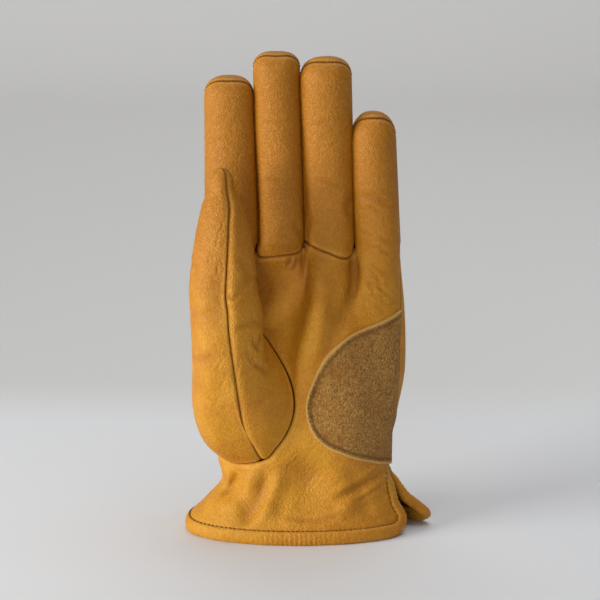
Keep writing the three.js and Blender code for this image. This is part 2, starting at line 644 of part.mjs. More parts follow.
const hole = spaced(thumbHole, EDGE_STEP);
const patchEdge = spaced(spline(PATCH_EDGE), EDGE_STEP).concat([[PATCH_EDGE.at(-1)[0] * STRIP, PATCH_EDGE.at(-1)[1]]]);
const palmLines = [patchEdge.slice(1, -1), lipLine(frontCuff(BINDING_END + EDGE_STEP), -1).slice(0, -1)];
const palmFlat = flatMesh(inset(palmOutline(), SEAM_GAP / 2), [hole], palmLines);
const backFlat = flatMesh(inset(backOutline(), SEAM_GAP / 2), [], [lipLine(backCuff(BINDING_END + EDGE_STEP), 1).slice(1)]);
const patchOutline = [...patchEdge, ...upSeam((v) => LITTLE_SIDE_SEAM(v) + 1, 36, 112)];
const patchFlat = {
  points: palmFlat.points,
  faces: palmFlat.faces.filter((face) => {
    const [x, y] = centre(palmFlat.points, face);
    return contains(patchOutline, x, y);
  }),
};
addPiece("back", laid(backFlat, BACK_SIDE, true), leather);
addPiece("palm", laid(palmFlat, FRONT_SIDE, false), leather);
addPiece("middle_front", laid(flatMesh(inset(frontOutline(1), SEAM_GAP / 2)), FRONT_SIDE, false), leather);
addPiece("ring_front", laid(flatMesh(inset(frontOutline(2), SEAM_GAP / 2)), FRONT_SIDE, false), leather);
addPiece("thumb", thumbGeometry(), leather);
addPiece("heel_patch", laid(compact(patchFlat), FRONT_SIDE, false, 0.3), suede);
addPiece("hem_binding", bindingGeometry(), leather);

// The origin is under the middle of the whole glove.
const middle = new THREE.Box3().setFromObject(glove, true).getCenter(new THREE.Vector3());
glove.position.set(-middle.x, -middle.y, 0);

export default glove;
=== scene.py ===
import math

import bpy
import numpy as np
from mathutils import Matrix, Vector
from mathutils.geometry import delaunay_2d_cdt


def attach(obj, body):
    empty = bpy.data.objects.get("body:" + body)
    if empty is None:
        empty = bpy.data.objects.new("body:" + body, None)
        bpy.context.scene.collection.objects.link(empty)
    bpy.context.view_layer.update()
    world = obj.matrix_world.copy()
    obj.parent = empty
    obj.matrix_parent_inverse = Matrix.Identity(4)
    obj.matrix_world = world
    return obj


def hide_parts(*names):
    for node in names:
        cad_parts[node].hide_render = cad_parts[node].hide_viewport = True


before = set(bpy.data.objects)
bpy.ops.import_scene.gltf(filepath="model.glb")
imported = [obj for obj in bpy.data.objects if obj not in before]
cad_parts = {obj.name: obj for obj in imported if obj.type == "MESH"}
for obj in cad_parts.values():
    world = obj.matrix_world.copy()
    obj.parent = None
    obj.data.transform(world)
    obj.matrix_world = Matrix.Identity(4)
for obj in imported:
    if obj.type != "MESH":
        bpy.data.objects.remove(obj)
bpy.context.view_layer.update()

FORM_ORIGIN = np.array([-4.4785, 11.7676, 0.0])  # where the form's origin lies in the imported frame
MM = 0.001

LEATHER = 1.2  # thickness of every piece
SEAM_SLACK = 0.04  # half the space between two pieces that are sewn edge to edge
CROTCH = 146  # height at which the fingers part
ROOT = 98  # height at which the hand starts to shape itself into fingers
STRIP = 36  # width of one finger's strip in the flat pattern
HEM_EDGE = 1.6  # height of the panels' lower edge
HEM_TOP = 6  # height above which the cuff starts to draw in
LIP = 5  # how far the binding covers the panels
VENT_TOP = 34
TIP_LAP = 1 / 3  # how far the back laps over a fingertip, as a share of half a strip
CORNER = 10  # radius of the cuff's corners at the vent
FAR_OFF = 50.0  # stands for the distance to a raw edge on a piece that has none


# ---- Curves ----

def smooth(x, low, high):
    t = np.clip((x - low) / (high - low), 0, 1)
    return t * t * (3 - 2 * t)


def between(t, start, end, leave, arrive, span):
    """A smooth way from start to end, by the slopes with which it leaves and arrives."""
    t2, t3 = t * t, t * t * t
    ends = (2 * t3 - 3 * t2 + 1) * start + (3 * t2 - 2 * t3) * end
    return ends + span * ((t3 - 2 * t2 + t) * leave + (t3 - t2) * arrive)


def profile(*keys):
    """A curve through (place, value) pairs that never overshoots them."""
    place, value = np.array(keys, float).T
    rise = np.diff(value) / np.diff(place)
    slope = np.zeros(len(place))
    for i in range(1, len(place) - 1):
        before, after = rise[i - 1], rise[i]
        if before * after > 0:
            slope[i] = 2 * before * after / (before + after)

    def at(x):
        x = np.asarray(x, float)
        i = np.clip(np.searchsorted(place, x) - 1, 0, len(place) - 2)
        span = place[i + 1] - place[i]
        t = np.clip((x - place[i]) / span, 0, 1)
        return between(t, value[i], value[i + 1], slope[i], slope[i + 1], span)

    return at


def spline(points, closed=False):
    """A Catmull-Rom curve: t from 0 to 1 gives its points. A closed one weighs its stretches alike."""
    p = np.array(points, float)
    n = len(p)
    if closed:
        p = np.concatenate([p[-1:], p, p[:3]])
    else:
        p = np.concatenate([2 * p[:1] - p[1:2], p, 2 * p[-1:] - p[-2:-1]])
    steps = np.linalg.norm(np.diff(p, axis=0), axis=1)[:, None] ** 0.5
    if closed:
        steps = np.ones_like(steps)
    stretches = n if closed else n - 1

    def at(t):
        x = np.asarray(t, float) * stretches
        k = np.clip(np.floor(x).astype(int), 0, stretches - 1)
        w = (x - k)[..., None]
        a, b, c, d = (p[k + j] for j in range(4))
        ab, bc, cd = (steps[k + j] for j in range(3))
        leave = ((b - a) / ab - (c - a) / (ab + bc) + (c - b) / bc) * bc
        arrive = ((c - b) / bc - (d - b) / (bc + cd) + (d - c) / cd) * bc
        bend = (2 * b - 2 * c + leave + arrive) * w - 3 * b + 3 * c - 2 * leave - arrive
        return b + (leave + bend * w) * w

    return at


def distance_along(points):
    return np.concatenate([[0], np.cumsum(np.linalg.norm(np.diff(points, axis=0), axis=1))])


def even_line(points, step):
    """The same line with points about a step apart, its two ends kept."""
    points = np.asarray(points, float)
    along = distance_along(points)
    places = np.linspace(0, along[-1], max(2, round(along[-1] / step) + 1))
    return np.stack([np.interp(places, along, column) for column in points.T], axis=1)


# ---- The form of the hand and cuff ----

LEFT = profile((HEM_TOP, -55), (14, -48), (26, -38.6), (38, -41.5), (60, -42), (95, -44), (CROTCH, -46.2))
RIGHT = profile((HEM_TOP, 53), (16, 48), (30, 44.6), (48, 44.8), (62, 48.5), (85, 51.6), (115, 50.8),
                (CROTCH, 48.8))
FRONT = profile((HEM_TOP, -31), (26, -25.5), (55, -27), (90, -24), (CROTCH, -14))
BACK = profile((HEM_TOP, 25), (28, 21), (60, 22), (100, 20), (CROTCH, 12.5))
SIDE_Y = profile((HEM_TOP, -4), (26, -2), (60, 0), (CROTCH, 0))
FINGER_Y = profile((CROTCH, 0), (195, -3), (240, -8))
FINGER_DEPTH = profile((CROTCH, 12.6), (240, 11))
ROUNDNESS = 0.86
FINGER_GAP = -0.8  # worn fingers press together

# Each finger's left side at its root and shoulder, its right side at both, its top, cap and squareness.
FINGERS = np.array([
    (-46.2, -45.6, -20.2, -22.2, 228, 11, 2.4),
    (-20.2, -22.2, 2, -0.1, 240, 10.5, 2.8),
    (2, 0.1, 26.6, 24.5, 237.2, 11.5, 2.5),
    (26.6, 24.6, 48.8, 46, 210.2, 14, 2.2),
])
SHOULDER = FINGERS[:, 4] - FINGERS[:, 5]

# Soft forms of the palm: x, height, half width, half length, tilt in degrees, and how far out.
PALM_FORMS = [
    (-9, 122, 12, 27, 10, -10.5),
    (-20, 115, 8, 21, 6, -7),
    (11, 120, 8, 32, 8, 7.5),
    (-37, 132, 9, 20, 0, 6.5),
    (14, 84, 18, 30, 0, 4.5),
    (26, 134, 5, 15, 4, -3),
    (38, 128, 8, 18, 0, 2),
    (30, 70, 16, 26, 0, 2),
    (-30, 21, 6, 9, -25, -2),
    (-19, 22, 5, 12, -15, 1.6),
    (30, 22, 14, 4, 70, -1.4),
    (4, 28, 12, 15, 0, -2.6),
]
FLAP_OUT = profile((4, 12.5), (10, 9), (17, 4.4), (VENT_TOP, 0))
FLAP_BACK = 0.1


def palm_forms(x, z):
    total = np.zeros_like(x)
    for cx, cz, across, along, tilt, out in PALM_FORMS:
        turn = math.radians(tilt)
        dx, dz = x - cx, z - cz
        a = (dx * math.cos(turn) - dz * math.sin(turn)) / across
        b = (dx * math.sin(turn) + dz * math.cos(turn)) / along
        total += out * np.exp(-a * a - b * b)
    return total * smooth(z, HEM_TOP, HEM_TOP + 10)


def power(value, exponent):
    return np.sign(value) * np.abs(value) ** exponent


def finger_point(side, i, q, v):
    left_root, left_top, right_root, right_top, top, cap, square = FINGERS[i].T
    shoulder = top - cap
    across = 2 * (q - i) - 1
    along = np.maximum(0, (v - shoulder) / (STRIP / 2))
    turn = np.maximum(np.hypot(across, along), 1e-9)
    cos, sin = across / turn, along / turn
    angle = turn * math.pi / 2
    reach = (np.abs(cos) ** square + sin**square) ** (-1 / square) * np.sin(angle)
    z = np.minimum(v, shoulder) + cap * reach * sin
    t = np.clip((z - CROTCH) / (shoulder - CROTCH), 0, 1)
    gap = FINGER_GAP / 2 * smooth(z, CROTCH - 8, CROTCH)
    left = left_root + (left_top - left_root) * t + gap
    right = right_root + (right_top - right_root) * t - gap
    x = (left + right) / 2 + (right - left) / 2 * reach * cos
    y = FINGER_Y(z) + side * FINGER_DEPTH(z) * power(np.cos(angle), ROUNDNESS)
    return np.stack([x, y, z], axis=1)


def hand_point(side, q, z):
    t = q / 2 - 1
    angle = math.pi / 2 * t - 0.25 * np.sin(math.pi * t)
    facing = side * np.cos(angle)
    depth = np.where(facing > 0, BACK(z) - SIDE_Y(z), SIDE_Y(z) - FRONT(z))
    x = (LEFT(z) + RIGHT(z)) / 2 + (RIGHT(z) - LEFT(z)) / 2 * np.sin(angle)
    y = SIDE_Y(z) + depth * power(facing, ROUNDNESS)
    y = y - np.where(facing < 0, palm_forms(x, z) * smooth(-facing, 0, 0.5), 0)
    flap = np.clip((q - 2.8) / 1.2, 0, 1.1) ** 1.6 * FLAP_OUT(z) if side > 0 else 0
    return np.stack([x + flap, y + FLAP_BACK * flap, z], axis=1)


def body_point(side, q, v):
    below = np.clip((CROTCH - v) / (CROTCH - ROOT), 0, 1)
    parted = (1 - np.sin(math.pi / 2 * np.sqrt(below)))[:, None]
    finger = finger_point(side, np.clip(np.floor(q), 0, 3).astype(int), q, v)
    return hand_point(side, q, v) * (1 - parted) + finger * parted


def unit(vectors):
    return vectors / np.maximum(np.linalg.norm(vectors, axis=-1, keepdims=True), 1e-12)


def to_left(line):
    """The way to the left of a flat line, at each of its points."""
    way = unit(np.gradient(line, axis=0))
    return np.stack([-way[:, 1], way[:, 0]], axis=1)


def on_body(side, pattern):
    """Where pattern places in millimetres lie on the body, and the outward direction there."""
    q, v = pattern[:, 0] / STRIP, pattern[:, 1]
    dq, dv = np.where(v < CROTCH, 0.02, 0.002), 0.05
    along = body_point(side, q, v + dv) - body_point(side, q, v - dv)
    across = body_point(side, q + dq, v) - body_point(side, q - dq, v)
    return body_point(side, q, v), unit(-side * np.cross(across, along))


# ---- Seams, as pattern curves ----

THUMB_SIDE_SEAM = profile((0, -0.35), (60, -0.45), (110, -0.35), (150, 0))
LITTLE_SIDE_SEAM = profile((VENT_TOP, 4), (45, 4), (55, 3.9), (65, 3.77), (78, 3.7), (92, 3.7),
                           (106, 3.75), (122, 3.87), (150, 4))
VENT_FRONT = profile((0, 3.8), (20, 3.86), (30, 3.91), (VENT_TOP, 4))
VENT_BACK = profile((0, 4), (20, 4.03), (30, 4.07), (VENT_TOP, 4))
ROOT_SEAM = [(1, 147), (1, 142.5), (1.04, 140), (1.14, 139), (1.5, 140), (1.88, 141.8), (1.965, 143.2),
             (2, 145.2), (2.1, 146.2), (2.5, 143), (2.85, 139.4), (2.96, 140.2), (3, 142.8), (3, 147)]
PATCH_EDGE = [(3.73, 113), (3.4, 109.5), (2.85, 103.5), (2.42, 94.5), (2.1, 83), (1.95, 71), (2.08, 60),
              (2.45, 51.5), (2.9, 45), (3.35, 39), (3.93, 33.5)]
THUMB_HOLE = [(1.06, 40.8), (1.32, 47.5), (1.54, 56.5), (1.66, 69), (1.56, 82), (1.25, 96), (0.82, 108),
              (0.32, 107), (-0.05, 92), (-0.18, 72), (-0.12, 51.5), (0.42, 38.4)]
FINE = 0.8  # spacing of the points along a panel's edge

thumb_hole = spline(np.array(THUMB_HOLE) * (STRIP, 1), closed=True)


HEM_START = float(THUMB_SIDE_SEAM(HEM_EDGE)) * STRIP  # where the hem meets the thumb's side seam


def back_edge(v):
    return 8 - VENT_BACK(v)


def up_seam(seam, low, high):
    v = np.linspace(low, high, max(2, round(abs(high - low) / FINE) + 1))
    return np.stack([seam(v) * STRIP, v], axis=1)


def slit_side(q):
    """The seam between two fingers, which runs straight up the pattern."""
    return lambda v: np.full_like(v, q)


def tip_seam(i, lap):
    """The seam over a fingertip, from the little finger's side to the thumb's side."""
    angle = np.linspace(0, math.pi, 61)
    reach = STRIP / 2 * (1 + lap * np.sin(angle) ** 2)
    x = (i + 0.5) * STRIP + reach * np.cos(angle)
    return np.stack([x, SHOULDER[i] + reach * np.sin(angle)], axis=1)


def vent_corner(edge):
    """The round corner of the cuff, from the hem up to a vent edge."""
    angle = np.linspace(-math.pi / 2, 0, 14)
    middle = float(edge(HEM_EDGE + CORNER)) * STRIP - CORNER
    return np.stack([middle + CORNER * np.cos(angle), HEM_EDGE + CORNER + CORNER * np.sin(angle)], axis=1)


def along_hem(start, end):
    x = np.linspace(start, end, round(abs(end - start) / FINE) + 1)
    return np.stack([x, np.full_like(x, HEM_EDGE)], axis=1)


def drawn_seam(places, samples, step=FINE):
    """A smooth seam through pattern places, with points a step apart."""
    return even_line(spline(np.array(places) * (STRIP, 1))(np.linspace(0, 1, samples)), step)


root_seam = drawn_seam(ROOT_SEAM, 400)
FOOT_ENDS = {1: (147, 145.2), 2: (145.2, 147)}  # heights of the two lower corners of a finger's front


def palm_outline():
    """Parts of the palm's outline in order: whether each is a sewn edge, and its points."""
    corner = vent_corner(VENT_FRONT)
    return [
        (False, along_hem(HEM_START, corner[0, 0])),
        (False, corner),
        (False, up_seam(VENT_FRONT, HEM_EDGE + CORNER, VENT_TOP)),
        (True, up_seam(LITTLE_SIDE_SEAM, VENT_TOP, SHOULDER[3])),
        (True, tip_seam(3, -TIP_LAP)),
        (True, up_seam(slit_side(3), SHOULDER[3], 147)),
        (True, root_seam[::-1]),
        (True, up_seam(slit_side(1), 147, SHOULDER[0])),
        (True, tip_seam(0, -TIP_LAP)),
        (True, up_seam(THUMB_SIDE_SEAM, SHOULDER[0], HEM_EDGE)),
    ]


def back_outline():
    corner = vent_corner(back_edge)
    parts = [
        (False, along_hem(-HEM_START, corner[0, 0])),
        (False, corner),
        (False, up_seam(back_edge, HEM_EDGE + CORNER, VENT_TOP)),
        (True, up_seam(lambda v: 8 - LITTLE_SIDE_SEAM(v), VENT_TOP, SHOULDER[3])),
    ]
    for i in (3, 2, 1, 0):
        parts.append((True, tip_seam(i, TIP_LAP)))
        if i:
            parts.append((True, up_seam(slit_side(i), SHOULDER[i], CROTCH)))
            parts.append((True, up_seam(slit_side(i), CROTCH, SHOULDER[i - 1])))
    parts.append((True, up_seam(lambda v: -THUMB_SIDE_SEAM(v), SHOULDER[0], HEM_EDGE)))
    return parts


def front_outline(i):
    """The front of a middle finger."""
    left, right = i * STRIP, (i + 1) * STRIP
    low = root_seam[(root_seam[:, 0] > left + 0.01) & (root_seam[:, 0] < right - 0.01)]
    left_foot, right_foot = FOOT_ENDS[i]
    return [
        (True, np.array([(left, left_foot), *low, (right, right_foot)])),
        (True, up_seam(slit_side(i + 1), right_foot, SHOULDER[i])),
        (True, tip_seam(i, -TIP_LAP)),
        (True, up_seam(slit_side(i), SHOULDER[i], left_foot)),
    ]


def patch_outline():
    edge = drawn_seam(PATCH_EDGE, 300)
    side = up_seam(LITTLE_SIDE_SEAM, edge[-1, 1], edge[0, 1])
    return [(False, edge), (True, side + (-0.2, 0))]


# ---- Flat meshes ----

def joined(parts):
    """One ring from the parts of an outline, and whether each point is on a sewn edge."""
    points = np.concatenate([part[:-1] for _, part in parts])
    sewn = np.concatenate([np.full(len(part) - 1, is_sewn) for is_sewn, part in parts])
    return points, sewn


def inset(ring, distance):
    before = unit(ring - np.roll(ring, 1, axis=0))
    after = unit(np.roll(ring, -1, axis=0) - ring)
    way = np.stack([-before[:, 1] - after[:, 1], before[:, 0] + after[:, 0]], axis=1)
    folded = np.linalg.norm(way, axis=1) < 0.2
    way = unit(way)
    share = np.maximum(0.5, way[:, 1] * before[:, 0] - way[:, 0] * before[:, 1])
    moved = ring + way * (distance / share)[:, None]
    moved[folded] = ring[folded] - (0, 2 * distance)
    return moved


def fan(points):
    """The fingers spread out, so that no triangle can bridge the slit between two of them."""
    finger = np.clip(np.floor(points[:, 0] / STRIP), 0, 3)
    shift = (finger - 1.5) * 0.15 * np.maximum(0, points[:, 1] - CROTCH)
    return points + np.stack([shift, np.zeros_like(shift)], axis=1)


def contains(ring, points):
    a, b = ring, np.roll(ring, -1, axis=0)
    inside = np.zeros(len(points), bool)
    for (ax, ay), (bx, by) in zip(a, b):
        if ay != by:
            crosses = (ay > points[:, 1]) != (by > points[:, 1])
            inside ^= crosses & (points[:, 0] < (bx - ax) * (points[:, 1] - ay) / (by - ay) + ax)
    return inside


def nearest(points, line):
    """How far each point is from a set of points, and which of them is the nearest."""
    chunk = 4000
    gap, which = np.full(len(points), 1e9), np.zeros(len(points), int)
    if not len(line):
        return gap, which
    size = (line**2).sum(1)
    for k in range(0, len(points), chunk):
        part = points[k:k + chunk]
        squared = (part**2).sum(1)[:, None] + size - 2 * part @ line.T
        best = squared.argmin(1)
        which[k:k + chunk] = best
        gap[k:k + chunk] = np.sqrt(np.maximum(squared[np.arange(len(part)), best], 0))
    return gap, which


def flat_mesh(parts, holes, step):
    """Points and triangles of a flat panel, with rows of points close beside its edges."""
    rows_in = (0.3, 0.7, 1.2, 1.8)
    squeeze = 0.8  # points lie further apart across than up, and squeezed they make even triangles
    ring, sewn = joined(parts)
    ring = inset(ring, SEAM_SLACK)
    rings = [ring, *holes]
    low, high = ring.min(0), ring.max(0)
    x = np.arange(low[0], high[0], 1.25 * step)
    y = np.arange(low[1], high[1], 0.87 * step)
    gx, gy = np.meshgrid(x, y)
    gx = gx + (np.arange(len(y)) % 2)[:, None] * 0.62 * step
    grid = np.stack([gx.ravel(), gy.ravel()], axis=1)
    edges = np.concatenate(rings)
    inner = [(inset(r, d), d) for r in rings for d in rows_in]
    extra = [p[nearest(fan(p), fan(edges))[0] > 0.8 * d] for p, d in inner]
    clear = grid[nearest(fan(grid), fan(edges))[0] > rows_in[-1] + 0.6 * step]
    free = np.concatenate([*extra, clear])
    inside = contains(ring, free)
    for hole in holes:
        inside &= ~contains(hole, free)
    points = np.concatenate([*rings, free[inside]])
    loops, start = [], 0
    for r in rings:
        loops += [(start + k, start + (k + 1) % len(r)) for k in range(len(r))]
        start += len(r)
    flat = [Vector((a * squeeze, b)) for a, b in fan(points)]
    out = delaunay_2d_cdt(flat, loops, [], 0, 1e-5)
    spots = np.array([(p[0] / squeeze, p[1]) for p in out[0]])
    came_from = np.array([o[0] if o else -1 for o in out[3]])
    faces = np.array(out[2])
    middle = spots[faces].mean(1)
    keep = contains(fan(ring), middle)
    for hole in holes:
        keep &= ~contains(fan(hole), middle)
    keep &= (came_from[faces] >= 0).all(1)
    return points, came_from[faces[keep]], sewn


# ---- Folds ----

# Which way a fold is looked at: the two axes it is drawn on, and the way the leather faces there.
VIEWS = {"front": (0, 2, (0, -1, 0)), "back": (0, 2, (0, 1, 0)), "right": (1, 2, (1, 0, 0)),
         "left": (1, 2, (-1, 0, 0)), "top": (0, 1, (0, 0, 1))}


def fold_height(points, normals, folds):
    """How far folds move the leather out, and how deep in a crease each point is (0 to 1)."""
    height, crease = np.zeros(len(points)), np.zeros(len(points))
    for view, depth, width, line in folds:
        a, b, facing = VIEWS[view]
        spots = points[:, [a, b]]
        path = even_line(spline(line)(np.linspace(0, 1, 40)), max(0.5, width / 3))
        reach = 4 * width
        low, high = path.min(0) - reach, path.max(0) + reach
        near = np.nonzero(((spots > low) & (spots < high)).all(1))[0]
        if not len(near):
            continue
        gap, which = nearest(spots[near], path)
        along = which / (len(path) - 1)
        taper = smooth(along, 0, 0.3) * smooth(1 - along, 0, 0.3) * 0.85 + 0.15
        beyond = np.exp(-(gap / width) ** 2)
        shoulders = np.exp(-((gap / width - 2) / 0.9) ** 2)
        mask = smooth(normals[near] @ np.array(facing), 0.1, 0.45) * taper
        height[near] += depth * mask * (beyond - 0.35 * shoulders)
        if depth < 0:
            crease[near] = np.maximum(crease[near], mask * beyond * min(1, -depth / 0.8))
    return height, crease


def seen_from(view, rows):
    """Folds drawn from one side. A row gives how far out, the width, and then the line's points."""
    return [(view, depth, width, np.reshape(line, (-1, 2))) for depth, width, *line in rows]


def wrinkles(view, middle, spread, angle, count, length, width, depth, seed):
    """A cluster of short fine creases that run about the same way."""
    r = np.random.default_rng(seed)
    folds = []
    for _ in range(count):
        at = np.array(middle) + (r.random(2) - 0.5) * spread
        turn = math.radians(angle + r.normal() * 14)
        half = length * (0.5 + r.random()) / 2
        way = np.array([math.cos(turn), math.sin(turn)])
        bow = np.array([-way[1], way[0]]) * r.normal() * 0.12 * half
        line = [at - way * half, at + bow, at + way * half]
        folds.append((view, -depth * (0.5 + r.random()), width * (0.7 + 0.6 * r.random()), line))
    return folds


def wrinkled(*clusters):
    return [fold for cluster in clusters for fold in wrinkles(*cluster)]


def slack(points, seed):
    """Gentle unevenness of worn leather, in millimetres."""
    amount, longest, waves = 0.35, 44, 26
    r = np.random.default_rng(seed)
    total = np.zeros(len(points))
    for _ in range(waves):
        length = longest * (0.28 + 0.72 * r.random())
        way = unit(r.normal(size=3)) * (1, 1, 0.6)
        total += np.sin(points @ way * 2 * math.pi / length + r.random() * 6.28) * length / longest
    return amount * total / math.sqrt(waves / 2)


PALM_FOLDS = seen_from("front", [
    (2.2, 4, 9.5, 152, 8.8, 140, 8.2, 128, 8, 118, 5.5, 109, 2, 99, 1, 88, 0, 77, -1, 66),
    (-0.9, 1.6, 2, 143, 2.6, 137, 2.4, 131, 0.5, 125),
    (-0.7, 1.2, -4, 142, -4.6, 138, -6, 134),
    (-0.5, 1.0, -1, 141, -1.6, 137, -3.4, 132),
    (-0.7, 3, 20, 120, 18, 110, 14, 99, 9, 88),
    (-1.5, 2.4, 25.5, 145, 26, 138, 26.5, 130, 25, 122, 22, 113),
    (-0.5, 0.9, 30, 131, 34, 127, 36.5, 121),
    (-0.5, 0.9, 33, 135, 37, 131, 40, 124),
    (0.6, 3.5, 20, 138, 19, 128, 19, 118),
    (-0.5, 1.1, 34, 137, 39, 133.5, 45, 131),
    (-0.45, 0.9, 32, 128, 37, 126.5, 43, 122),
    (-0.4, 0.8, 33, 123, 38, 121.5, 42, 118),
    (-0.35, 0.9, 35, 118, 39, 115, 42, 112),
    (-0.5, 1.2, 37, 152, 41, 149, 46, 147),
    (-0.35, 1, 38, 145, 42, 142, 46, 141),
    (-0.6, 1.6, 27, 169.5, 33, 170.5, 39, 169, 44, 166),
    (-0.35, 1.2, 28, 163, 34, 164, 41, 162),
    (-0.4, 1.3, 28, 152.5, 32, 151, 37, 150),
    (-0.5, 1.8, -44, 170, -38, 172, -31, 171, -24, 168),
    (-0.3, 1.4, -43, 196, -36, 198, -29, 197),
    (-0.9, 1.6, -41, 33, -39, 28, -40.5, 24),
    (-0.7, 1.2, -36, 31, -37.6, 27, -41, 22, -45, 19),
    (-0.6, 1, -32, 29, -35, 24, -40, 18),
    (-1.5, 2.8, -17, 34, -19, 27, -22, 19, -28, 10, -33, 6),
    (1.5, 3.4, -21, 40, -23.4, 32, -26, 24, -31, 18, -42, 14),
    (0.9, 3, -11, 38, -11, 28, -14, 19, -18, 12),
    (-1.0, 7, -6, 44, 2, 36, 10, 30),
    (-0.5, 0.9, -14, 30, -17, 22, -21, 14),
    (-0.9, 1.5, -31, 34, -33, 28, -37, 21),
    (-0.6, 1.2, -10, 15, 3, 12.5, 13, 12.5, 22, 15),
    (-0.3, 0.8, 10, 19, 15, 18, 20, 18.4),
    (-1.2, 1.9, 16, 20, 22, 24, 30, 27.5, 38, 31, 46, 37),
    (-0.6, 1, 24, 18, 31, 21, 38, 25, 44, 28),
    (-0.6, 1, 30, 31, 36, 33, 43, 39),
    (0.9, 2.6, 14, 14, 24, 18, 33, 22, 42, 27),
]) + seen_from("left", [
    (1.3, 7, -22, 54, -4, 51, 12, 50),
])
PALM_FOLDS += wrinkled(
    ("front", (38, 124), (12, 16), 152, 9, 7, 0.55, 0.2, 3),
    ("front", (-38, 25), (10, 12), 55, 8, 6, 0.5, 0.22, 4),
    ("front", (34, 25), (20, 9), 32, 9, 7, 0.5, 0.2, 5),
    ("front", (4, 52), (44, 26), 78, 10, 8, 0.6, 0.1, 6),
    ("front", (35, 158), (16, 14), 8, 7, 6, 0.5, 0.14, 7),
    ("right", (-8, 120), (18, 60), 20, 12, 8, 0.8, 0.2, 8),
    ("left", (-10, 45), (20, 40), 30, 10, 8, 0.8, 0.25, 9),
)

MIDDLE_FOLDS = seen_from("front", [
    (-0.6, 1.4, -3, 158, -1.5, 154, 1, 149),
    (-0.35, 1.4, -20, 176, -14, 178, -6, 176.5),
    (-0.3, 1.3, -19, 205, -12, 206.5, -4, 205),
    (0.4, 3, -11, 146, -11, 152, -10, 160),
]) + wrinkles("front", (-10, 148), (16, 6), 86, 7, 5, 0.5, 0.14, 11)

RING_FOLDS = seen_from("front", [
    (-0.6, 1.2, 6.5, 177, 12, 178, 17, 176.4, 22, 175),
    (-0.3, 1.2, 8, 172, 13, 172.6, 19, 171),
    (-0.7, 1.6, 25.5, 171, 23, 165, 25, 158),
    (-0.3, 1.3, 4, 205, 11, 206, 20, 204),
    (-0.5, 1.3, 3, 152, 5, 157, 5.5, 162),
]) + wrinkles("front", (14, 148), (16, 8), 80, 7, 5, 0.5, 0.14, 12)

THUMB_FOLDS = seen_from("front", [
    (-0.8, 1.2, -35, 131.5, -32, 129.5, -28, 130.5),
    (-0.3, 1, -34, 126, -31, 124.6, -28, 125),
    (-0.9, 1.1, -22.5, 109, -21, 105, -18, 100),
    (-0.8, 1, -17, 111, -19, 106, -18.3, 100),
    (-0.8, 1.2, -24, 95, -20, 94, -16.5, 90, -15, 86),
    (-0.4, 1, -25, 104, -23, 98, -18, 93),
    (-0.5, 1.6, -30, 150, -26, 144, -24, 136),
    (0.7, 4, -43, 160, -45, 140, -46, 120, -45, 100, -41, 80),
    (-0.6, 4, -37, 150, -38.5, 130, -38, 112),
]) + seen_from("left", [
    (-0.6, 1.6, -60, 96, -48, 99, -38, 96),
    (-0.5, 1.4, -56, 118, -46, 121, -36, 118),
    (-0.5, 1.4, -50, 142, -42, 144, -34, 141),
]) + seen_from("right", [
    (-0.6, 1.5, -54, 112, -46, 116, -38, 113),
    (-0.5, 1.4, -50, 134, -42, 137, -34, 134),
]) + seen_from("back", [
    (-0.6, 1.6, -46, 126, -36, 128, -26, 125),
    (-0.5, 1.4, -44, 150, -36, 152, -27, 149),
]) + wrinkled(
    ("front", (-40, 158), (10, 32), 75, 12, 7, 0.5, 0.2, 21),
    ("front", (-20, 110), (10, 34), 110, 10, 6, 0.5, 0.22, 22),
    ("front", (-36, 80), (18, 34), 80, 10, 8, 0.7, 0.14, 23),
)

BACK_FOLDS = seen_from("back", [
    (-0.9, 2, 24, 30, 18, 24, 12, 15),
    (-0.9, 2.2, 6, 32, 4, 24, 2, 14),
    (-0.9, 2, -14, 31, -18, 23, -25, 14),
    (-0.7, 1.6, -30, 30, -34, 23, -41, 16),
    (0.8, 3, 15, 31, 11, 22, 7, 13),
    (0.8, 3, -5, 31, -7, 22, -12, 13),
    (-0.5, 1.8, -34, 44, -12, 40, 12, 41, 34, 45),
    (-0.4, 1.6, -28, 36, -8, 33.5, 16, 34),
    (-1, 4, -20, 146, -19.5, 132, -18, 116),
    (-1, 4, 2, 146, 2, 132, 2, 114),
    (-0.9, 4, 26, 146, 25, 132, 23, 118),
    (-0.4, 2, -36, 96, -18, 92, 4, 93),
    (-0.4, 1.8, 10, 84, 26, 88, 40, 86),
]) + seen_from("right", [
    (-0.7, 1.4, 14, 30, 6, 24, -2, 18),
]) + seen_from("left", [
    (-0.8, 1.6, 14, 31, 8, 26, 2, 18),
    (-0.6, 1.4, 18, 60, 8, 56, -2, 58),
    (-0.5, 1.4, 16, 84, 8, 80, -2, 81),
])
for i, knuckles in enumerate([(164, 190), (168, 200), (168, 198), (160, 182)]):
    middle = FINGERS[i, [0, 2]].mean()
    for z in knuckles:
        for k, drop in enumerate((0, 3.4, 6.2)):
            half = 8.5 - 1.4 * k
            top = z - drop
            row = (-0.45 + 0.08 * k, 1.1, middle - half, top - 0.8, middle, top, middle + half, top - 1)
            BACK_FOLDS += seen_from("back", [row])
BACK_FOLDS += wrinkled(
    ("back", (0, 28), (70, 18), 78, 16, 9, 0.6, 0.22, 31),
    ("back", (0, 90), (80, 80), 20, 22, 12, 0.7, 0.12, 32),
    ("left", (4, 150), (10, 120), 12, 14, 7, 0.6, 0.2, 33),
    ("right", (4, 130), (10, 130), 12, 16, 7, 0.6, 0.2, 34),
)

PATCH_FOLDS = seen_from("front", [
    (-0.3, 1.6, 24, 88, 32, 84, 42, 84),
    (-0.3, 1.6, 20, 66, 30, 62, 41, 61),
    (0.35, 4, 14, 74, 18, 88, 27, 98),
])


# ---- Meshes ----

